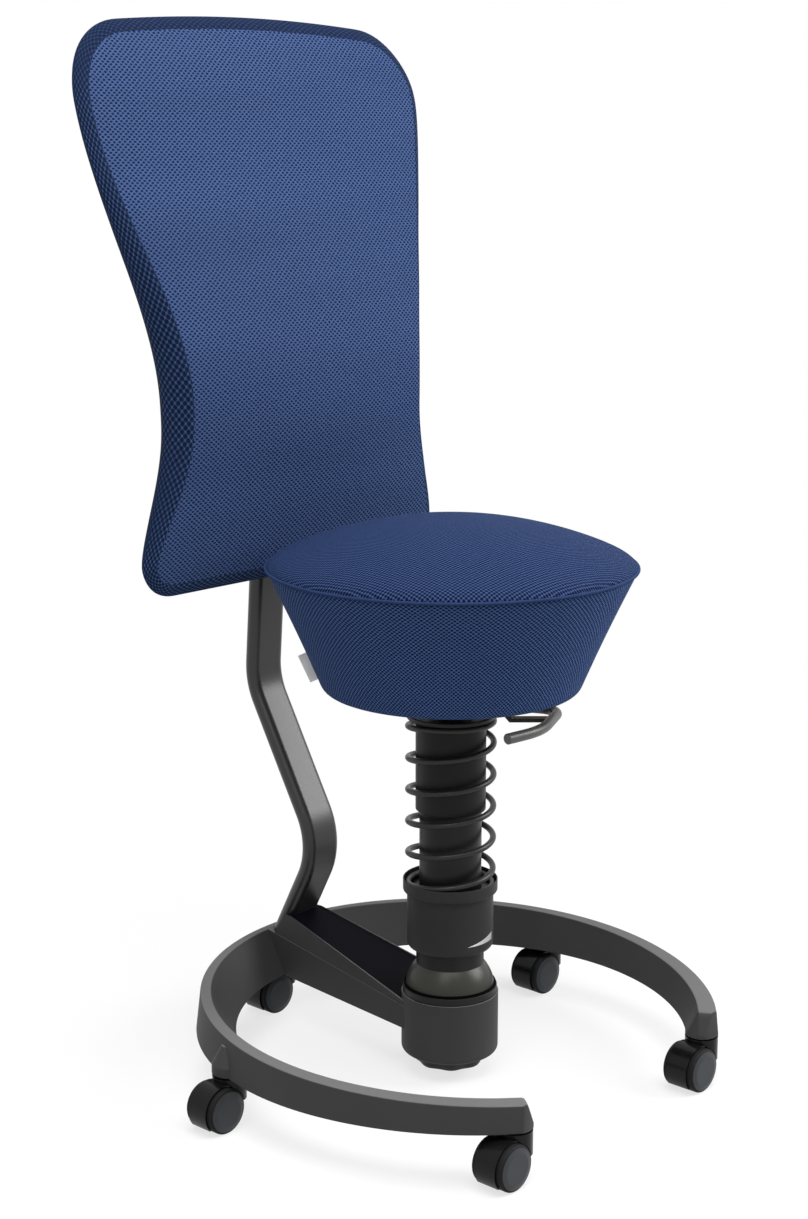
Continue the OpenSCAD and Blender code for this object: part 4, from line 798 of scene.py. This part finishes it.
# The crown's cloth is coloured darker than the side's: painted shade that offsets the stronger light of the
# lamp above on the crown.
crown_cloth = spacer_cloth("mesh_cloth_crown", light=(0.038, 0.072, 0.186), dark=(0.002, 0.0045, 0.021),
                           cell=(5.2, 4.4), hole=(1.6, 1.35), bands=0.05)
side_cloth = spacer_cloth("mesh_cloth_side", light=(0.068, 0.127, 0.312), dark=(0.004, 0.010, 0.038),
                          cell=(SIDE_CELL, 4.7), hole=(1.6, 1.3), bump=0.6)
fleece = moulded("fleece_black", (0.014, 0.014, 0.016), 0.9, bump=0.6, size=2.0, shine=0.1)
dress(seat, crown_cloth, side_cloth, fleece)
cloth_faces(seat, uvs, zones)
free_rows = [*range(CROWN_ROWS - 8), *range(CROWN_ROWS + 4, CROWN_ROWS + 20)]
free = {0} | {1 + row * SEGMENTS + k for row in free_rows for k in range(SEGMENTS)}
swell(seat, [i for i in range(len(points)) if i not in free], cap=0.0015)
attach(seat, "seat")
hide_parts("seat_cushion")
BEAD_R = 1.9
bead = [(SEAT_R + BEAD_R * cos(a), RIM_Z + BEAD_R * sin(a)) for a in full_turn(16)]
piping = lathe("seat_bead", bead, steps=200)
dress(piping, moulded("piping_cloth", (0.020, 0.038, 0.105), 0.8, bump=0.5, shine=0.05))
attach(piping, "seat")
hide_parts("seat_piping")

# Pan under the seat: a disc of pressed plywood, held to the carrier by the four screws. Its
# layers show at the edge.
board, tree, shader, place = surface("plywood", (0.42, 0.29, 0.17), 0.65)
plies = put(tree, "ShaderNodeMapping", {"Vector": place["Object"], "Scale": (3.0, 14.0, 700.0)})
grain = noise(tree, plies.outputs[0], scale=1.0, detail=5.0, distortion=0.6)
wood = ramp(tree, grain, [(0.3, (0.24, 0.15, 0.08)), (0.7, (0.5, 0.36, 0.22))])
tree.links.new(wood, shader.inputs["Base Color"])
dented(tree, shader, grain, 0.2, depth=0.0003)
paint("seat_pan", board)

# Tag: a folded piece of bare white woven tape, sewn in low on the seat's side, at the sitter's
# right and towards the back, with its fold outwards.
TAG_LENGTH, TAG_OUT, TAG_START, TAG_CLEAR, TAG_BOW = 33, 10, 0.08, 0.3, 0.25
FOLD = [(0, -0.35), (3, -0.38), (6, -0.42), (8.5, -0.4), (9.7, -0.22), (TAG_OUT, 0),
        (9.7, 0.22), (8.5, 0.4), (6, 0.42), (3, 0.38), (0, 0.35)]
lean = np.array([SEAT_R - SEAT_FOOT_R, RIM_Z - SEAT_FOOT_Z])
root = np.array([SEAT_FOOT_R, SEAT_FOOT_Z]) + TAG_START * lean
lean /= np.linalg.norm(lean)
out = np.array([lean[1], -lean[0]])
root += TAG_CLEAR * out
turn = LEVER_TURN + pi
across = np.array([-sin(turn), cos(turn)])
loops = []
for v in np.linspace(0, TAG_LENGTH, 12):
    loop = []
    for u, w in FOLD:
        r, z = root + lean * v + out * u
        bow = w + TAG_BOW * sin(v / TAG_LENGTH * pi) * (u / TAG_OUT)
        loop.append([r * cos(turn) + bow * across[0], r * sin(turn) + bow * across[1], z])
    loops.append(loop)
tag = skin("tag_tape", loops)
sharp_edges(tag, 60)
tape, tree, shader, place = surface("woven_tape", (0.7, 0.7, 0.68), 0.8)
ribs = put(tree, "ShaderNodeTexWave", {"Vector": place["Object"], "Scale": 320.0, "Distortion": 0.3},
           bands_direction="Z").outputs["Fac"]
weave = ramp(tree, ribs, [(0.0, (0.66, 0.66, 0.65)), (1.0, (0.86, 0.86, 0.85))])
tree.links.new(weave, shader.inputs["Base Color"])
dented(tree, shader, ribs, 0.4, depth=0.0002)
dress(tag, tape)
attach(tag, "seat")
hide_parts("seat_tag")

# Mast: a flat oval steel bar, bent forward and back again, from the shoe up to the bracket
# behind the back.
MAST_PATH, MAST_BENDS = [(262, 98), (196.2, 223.2), (302, 408.8), (276.5, 745), (293, 882)], (80, 80, 200)
MAST_FLAT, MAST_THICK, MAST_SEAT = 30, 20, 0.05
oval = []
for s in (1, -1):
    oval += [(s * MAST_THICK / 2 * cos(a), s * (MAST_FLAT + MAST_THICK * sin(a)) / 2)
             for a in np.linspace(0, pi, 25)]
loops = []
for p, a in bent_path(MAST_PATH, MAST_BENDS, step=2.5):
    loops.append([(w, p[0] - t * sin(a), p[1] + t * cos(a)) for t, w in oval])


def cut_at_ring(work):
    """Cuts the mast's foot off along the ring's sloping top and closes it."""
    every = work.verts[:] + work.edges[:] + work.faces[:]
    bmesh.ops.bisect_plane(work, geom=every, plane_co=Vector((0, RING_Y, TOP_Z + MAST_SEAT)) * MM,
                           plane_no=Vector((0, -RISE, 1)).normalized(), clear_inner=True)
    bmesh.ops.holes_fill(work, edges=[e for e in work.edges if e.is_boundary], sides=0)


mast = reworked(skin("mast_bar", loops), cut_at_ring)
sharp_edges(mast, 50)
dress(mast, powder_coated("powder_coat_mast", (0.015, 0.015, 0.0155), 0.34, bump=0.06, shine=0.5))
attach(mast, "base")
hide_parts("backrest_mast")
round_off("backrest_bracket", 1.0)
paint("backrest_bracket", tube_black)
round_off("backrest_screws", 0.4)
paint("backrest_screws", steel)

# Back: a foam pad in the same cloth on a thin plastic shell. A front panel is sewn to a band,
# which rolls over the edge, where the mesh is stretched wider; its upward faces are painted darker, as
# painted shade.
STATION_FOOT, STATION_STEP = 540, 80
STATIONS = [(243, 249), (230, 251), (217, 255), (215, 259), (229, 268), (253, 280), (276, 292), (293, 307),
            (316, 329)]
BACK_FOOT, BACK_TOP, TOP_CROWN, FOOT_CORNER, TOP_CORNER = 547.0, 1177.0, 7.0, 42.0, 85.0
WAIST_HALF, FOOT_HALF, TOP_HALF = 194, 236, 264.5
WAIST_LOW, WAIST_HIGH, FOOT_WIDE_Z, TOP_WIDE_Z = 735, 757, BACK_FOOT + 13, 1097
PAD_EDGE, PAD_CROWN, PAD_FADE = 14.0, 5.0, 80
FRONT, REAR = 0, 1
corner_foot_z, corner_top_z = BACK_FOOT + FOOT_CORNER, BACK_TOP - TOP_CROWN - TOP_CORNER


def back_y(z, face):
    """The pad's front or rear face at a height, on a smooth curve through the stations."""
    u = (z - STATION_FOOT) / STATION_STEP
    last = len(STATIONS) - 1
    i = max(0, min(last - 1, int(u)))
    t = u - i
    p = [STATIONS[max(0, min(last, i + d))][face] for d in (-1, 0, 1, 2)]
    ma, mb = (p[2] - p[0]) / 2, (p[3] - p[1]) / 2
    near = p[1] * (1 + 2 * t) * (1 - t) ** 2 + ma * t * (1 - t) ** 2
    return near + p[2] * t * t * (3 - 2 * t) + mb * t * t * (t - 1)


def back_half(z):
    """Half of the back's width at a height: wide at the foot, waisted, and widest near the top."""
    if z < WAIST_HIGH:
        wide, t = FOOT_HALF, (WAIST_LOW - z) / (WAIST_LOW - FOOT_WIDE_Z)
    else:
        wide, t = TOP_HALF, (z - WAIST_HIGH) / (TOP_WIDE_Z - WAIST_HIGH)
    t = max(0, min(1, t))
    return WAIST_HALF + (wide - WAIST_HALF) * (t * t * (3 - 2 * t))


def back_corner(z, radius, angles):
    side = back_half(z) - radius
    return [(side + radius * cos(a), z + radius * sin(a)) for a in angles]


half = [(t * (FOOT_HALF - FOOT_CORNER), BACK_FOOT) for t in np.linspace(0, 0.98, 16)]
half += back_corner(corner_foot_z, FOOT_CORNER, np.linspace(-pi / 2, 0, 14)[:-1])
half += [(back_half(z), z) for z in np.linspace(corner_foot_z, corner_top_z, 60)]
half += back_corner(corner_top_z, TOP_CORNER, np.linspace(0, pi / 2, 20)[1:])
half += [(t * (TOP_HALF - TOP_CORNER), BACK_TOP - TOP_CROWN * t * t) for t in np.linspace(0.97, 0, 18)]
rim = np.array(half + [(-x, z) for x, z in half[-2:0:-1]])


def smoothed(rows):
    return 0.25 * np.roll(rows, 1, axis=0) + 0.5 * rows + 0.25 * np.roll(rows, -1, axis=0)


def even(loop, count):
    """The closed loop with evenly spaced points and slightly softened turns."""
    loop = smoothed(smoothed(loop))
    closed = np.vstack([loop, loop[:1]])
    length = np.concatenate([[0], np.cumsum(np.linalg.norm(np.diff(closed, axis=0), axis=1))])
    at = np.linspace(0, length[-1], count + 1)[:-1]
    return np.stack([np.interp(at, length, closed[:, k]) for k in (0, 1)], axis=1), length[-1]


EDGE_POINTS = 420
rim, rim_length = even(rim, EDGE_POINTS)
along = np.roll(rim, -1, axis=0) - np.roll(rim, 1, axis=0)
along /= np.linalg.norm(along, axis=1, keepdims=True)
inward = np.stack([-along[:, 1], along[:, 0]], axis=1)
for _ in range(6):
    inward = smoothed(inward)
    inward /= np.linalg.norm(inward, axis=1, keepdims=True)


def pad_face_y(x, z, share, crown):
    """A point's Y on the pad: share is how far it lies from the front face to the rear one."""
    width = back_half(min(z, corner_top_z))
    fade = max(0.0, min(1.0, min(BACK_TOP - z, z - BACK_FOOT) / PAD_FADE))
    front, rear = back_y(z, FRONT), back_y(z, REAR)
    return front + (rear - front) * share - crown * fade * max(0, 1 - (x / width) ** 2)


def filled(loop, spacing):
    """Triangles over the inside of a closed loop, with an even grid of points inside it."""
    low, high = loop.min(axis=0), loop.max(axis=0)
    row_height, margin = spacing * 0.87, spacing * 0.55
    n, inner = len(loop), []
    for j, z in enumerate(np.arange(low[1] + spacing / 2, high[1], row_height)):
        for x in np.arange(low[0] + (j % 2) * spacing / 2, high[0], spacing):
            gaps = np.linalg.norm(loop - (x, z), axis=1)
            i = int(gaps.argmin())
            inside = np.dot(np.array((x, z)) - loop[i], inward[i * len(inward) // n]) > 0
            if gaps[i] > margin and inside:
                inner.append((x, z))
    all_points = [Vector(p) for p in loop] + [Vector(p) for p in inner]
    edges = [(i, (i + 1) % n) for i in range(n)]
    verts, _, tris, *_ = geometry.delaunay_2d_cdt(all_points, edges, [], 1, 1e-5)
    return np.array([tuple(v) for v in verts]), tris


# The front panel ends at the seam. The band runs from the seam over the edge to the shell, in
# rows of inset, share of the thickness and crown.
BAND_CELL, PAD_DEPTH, REAR_INSET = 8.8, 32, 4.7
PANEL, BAND, BEHIND = 0, 1, 2
panel_points, panel_tris = filled(rim + PAD_EDGE * inward, 7.0)
band_rows = [(d, 0.5 * max(0, 1 - d / PAD_EDGE) ** 2, PAD_CROWN)
             for d in (PAD_EDGE, 12.4, 10, 7.5, 5, 3, 1.5, 0.5, 0)]
band_rows += [(0, 0.5 + 0.2 * t, 0) for t in (0.25, 0.6, 1.0)]
band_rows += [(0.8, 0.82, 0), (2.2, 0.93, 0), (REAR_INSET, 1.0, 0)]
points = [(x, pad_face_y(x, z, 0, PAD_CROWN), z) for x, z in panel_points]
uvs, zones, faces = [], [], []
for tri in panel_tris:
    faces.append(tuple(tri))
    uvs += [(points[i][0], points[i][2]) for i in tri]
    zones.append(PANEL)
row_index, depth = [list(range(EDGE_POINTS))], [0.0]
for (d0, s0, _), (d, share, crown) in zip(band_rows, band_rows[1:]):
    row = []
    for i in range(EDGE_POINTS):
        x, z = rim[i] + d * inward[i]
        row.append(len(points))
        points.append((x, pad_face_y(x, z, share, crown if share <= 0.5 else 0), z))
    row_index.append(row)
    depth.append(depth[-1] + hypot(d0 - d, (share - s0) * PAD_DEPTH))
scale_u = round(rim_length / BAND_CELL) * BAND_CELL / EDGE_POINTS
for k in range(len(row_index) - 1):
    for i in range(EDGE_POINTS):
        j = (i + 1) % EDGE_POINTS
        faces.append((row_index[k][i], row_index[k + 1][i], row_index[k + 1][j], row_index[k][j]))
        uvs += [((i + s) * scale_u, depth[k + t]) for s, t in ((0, 0), (0, 1), (1, 1), (1, 0))]
        zones.append(BAND)
rear_points, rear_tris = filled(rim + REAR_INSET * inward, 16.0)
rear_index = row_index[-1] + list(range(len(points), len(points) + len(rear_points) - EDGE_POINTS))
points += [(x, pad_face_y(x, z, 1, 0), z) for x, z in rear_points[EDGE_POINTS:]]
for tri in rear_tris:
    faces.append(tuple(rear_index[i] for i in reversed(tri)))
    uvs += [(points[i][0], points[i][2]) for i in faces[-1]]
    zones.append(BEHIND)
pad = add_mesh("back_cover", points, faces)
panel_cloth = spacer_cloth("mesh_cloth_panel", light=(0.049, 0.087, 0.205), dark=(0.005, 0.011, 0.042),
                           cell=(6.8, 5.4), hole=(1.85, 1.15), bands=0.09)
# The band's faces that look up are painted darker: painted shade against the light from above.
band_cloth = spacer_cloth("mesh_cloth_band", light=(0.048, 0.094, 0.203), dark=(0.006, 0.012, 0.042),
                          cell=(BAND_CELL, 6.0), hole=(2.9, 2.0), bump=0.7, painted_top_shade=0.6)
dress(pad, panel_cloth, band_cloth, fleece)
cloth_faces(pad, uvs, zones)
reworked(pad)
held = set(row_index[0]) | {i for row in row_index[8:] for i in row} | set(rear_index)
swell(pad, sorted(held), cap=0.002)
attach(pad, "base")
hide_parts("backrest_pad")

# Shell: a thin sheet of moulded plastic behind the pad, bolted to the bracket. Its edge lies a
# little inside the pad's.
SHELL_INSET, SHELL_GAP, SHELL_T = 7.0, 0.3, 5.0
face_points, face_tris = filled(rim + SHELL_INSET * inward, 14.0)
count = len(face_points)
points = [(x, back_y(z, REAR) + y, z) for y in (SHELL_GAP, SHELL_GAP + SHELL_T) for x, z in face_points]
faces = [tuple(t) for t in face_tris] + [tuple(i + count for i in reversed(t)) for t in face_tris]
faces += [(i, i + count, (i + 1) % EDGE_POINTS + count, (i + 1) % EDGE_POINTS) for i in range(EDGE_POINTS)]
shell = bevelled(add_mesh("back_shell", points, faces), 1.2)
dress(shell, moulded("plastic_shell", (0.014, 0.014, 0.0145), 0.5, bump=0.4, size=1.6))
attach(shell, "base")
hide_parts("backrest_shell")

# Castors: a glossy moulded hood over two wheels with soft treads and smooth discs. Each castor
# turns on a steel stem in its boss.
hood_black = moulded("plastic_hood", (0.005, 0.005, 0.0052), 0.22, bump=0.03, shine=0.16)
tread = moulded("wheel_tread", (0.010, 0.010, 0.0105), 0.6, bump=0.2, size=0.8, shine=0.12)
disc = moulded("wheel_disc", (0.036, 0.040, 0.045), 0.42, bump=0.05)
WHEEL_R, DISC_R, AXLE_R, TRAIL, WHEEL_IN, WHEEL_STEPS = 25, 22.2, 3.05, 20.9, 7.6, 96
WHEEL_PROFILE = softened(
    [(AXLE_R, WHEEL_IN), (WHEEL_R, WHEEL_IN), (WHEEL_R, 18.6), (22.4, 20.2), (16.8, 21.8), (0, 21.8),
     (0, 18.3), (AXLE_R, 18.3)],
    (0, 1.2, 1.4, 0.3, 0.4, 0, 0, 0))
for label, angle in CASTORS.items():
    x, y = castor_place(angle)
    round_off(f"castor_{label}_hood", 0.7, angle=40)
    paint(f"castor_{label}_hood", hood_black)
    paint(f"castor_{label}_pins", steel)
    for side, end in ((1, "front"), (-1, "rear")):
        loops = []
        for a in full_turn(WHEEL_STEPS):
            loops.append([(x - TRAIL + r * cos(a), y - side * w, WHEEL_R + r * sin(a))
                          for r, w in WHEEL_PROFILE])
        wheel = reworked(skin(f"wheel_{label}_{end}", loops, closed=True), weld)
        dress(wheel, tread, disc)
        centres = [face.center / MM for face in wheel.data.polygons]
        on_disc = [int(hypot(c.x - x + TRAIL, c.z - WHEEL_R) < DISC_R) for c in centres]
        wheel.data.polygons.foreach_set("material_index", on_disc)
        sharp_edges(wheel, 50)
        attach(wheel, f"castor_{label}_wheel_{end}")
        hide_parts(f"castor_{label}_wheel_{end}")

# Studio: a plain white floor that goes over into a white background and keeps the object's
# shadow, soft lamps above, at the front left and at the front right, and the camera.
camera_data = bpy.data.cameras.new("camera")
camera_data.lens = 65.67
camera_data.sensor_width = 36.0
camera = bpy.data.objects.new("camera", camera_data)
scene.collection.objects.link(camera)
camera.location = Vector((-1787.4, -1582.3, 1053.4)) * MM
target = Vector((0, 71.09, 527.4)) * MM
camera.rotation_euler = (target - camera.location).to_track_quat("-Z", "Y").to_euler()
scene.camera = camera


def seen_directly(tree):
    """1 for rays from the camera and for those that gloss or glass sends on, 0 for the rest."""
    ray = put(tree, "ShaderNodeLightPath").outputs
    sent_on = number_of(tree, "MAXIMUM", ray["Is Glossy Ray"], ray["Is Transmission Ray"])
    return number_of(tree, "MAXIMUM", ray["Is Camera Ray"], sent_on)


FLOOR_HALF, SHADOW_REACH, PAPER_BOUNCE, PAPER_SEEN = 9000, (0.4, 1.0), 0.5, 0.92
corners = [(x * FLOOR_HALF, y * FLOOR_HALF, 0) for x, y in ((-1, -1), (1, -1), (1, 1), (-1, 1))]
floor = add_mesh("floor", corners, [(0, 1, 2, 3)])
paper, tree, shader, place = surface("floor_paper", (PAPER_SEEN, PAPER_SEEN, PAPER_SEEN), 0.9, shine=0.0)
WHITE_LIGHT = {"Color": (1.0, 1.0, 1.0, 1.0), "Strength": 1.0}
white = put(tree, "ShaderNodeEmission", WHITE_LIGHT)
away = put(tree, "ShaderNodeVectorMath", {0: place["Object"]}, operation="LENGTH").outputs["Value"]
share = spread(tree, away, to=(0.72, 1.0), since=SHADOW_REACH)
shown = number_of(tree, "MULTIPLY", share, seen_directly(tree))
grey = spread(tree, seen_directly(tree), to=(PAPER_BOUNCE, PAPER_SEEN))
tree.links.new(grey, shader.inputs["Base Color"])
mixed = put(tree, "ShaderNodeMixShader", {0: shown, 1: shader.outputs[0], 2: white.outputs[0]})
tree.links.new(mixed.outputs[0], tree.nodes["Material Output"].inputs["Surface"])
dress(floor, paper)

world = bpy.data.worlds.new("studio")
scene.world = world
world.use_nodes = True
tree = world.node_tree
sky = tree.nodes["Background"]
sky.inputs["Color"].default_value = (1, 1, 1, 1)
sky.inputs["Strength"].default_value = 0.3
plain = put(tree, "ShaderNodeBackground", WHITE_LIGHT)
mixed = put(tree, "ShaderNodeMixShader", {0: seen_directly(tree), 1: sky.outputs[0], 2: plain.outputs[0]})
tree.links.new(mixed.outputs[0], tree.nodes["World Output"].inputs["Surface"])


def lamp(name, place, look, size, power):
    light = bpy.data.lights.new(name, "AREA")
    light.shape = "RECTANGLE"
    light.size, light.size_y = size
    light.energy = power
    thing = bpy.data.objects.new(name, light)
    thing.location = place
    thing.rotation_euler = (Vector(look) - Vector(place)).to_track_quat("-Z", "Y").to_euler()
    scene.collection.objects.link(thing)


lamp("overhead", place=(-0.5, -0.5, 3.2), look=(0, 0, 0.4), size=(2.6, 2.6), power=108)
lamp("key", place=(2.3, -1.9, 2.1), look=(0, 0, 0.6), size=(1.9, 1.7), power=90)
lamp("left", place=(-2.1, -0.9, 2.2), look=(0, 0, 0.2), size=(1.0, 1.0), power=9)
scene.view_settings.view_transform = "Standard"
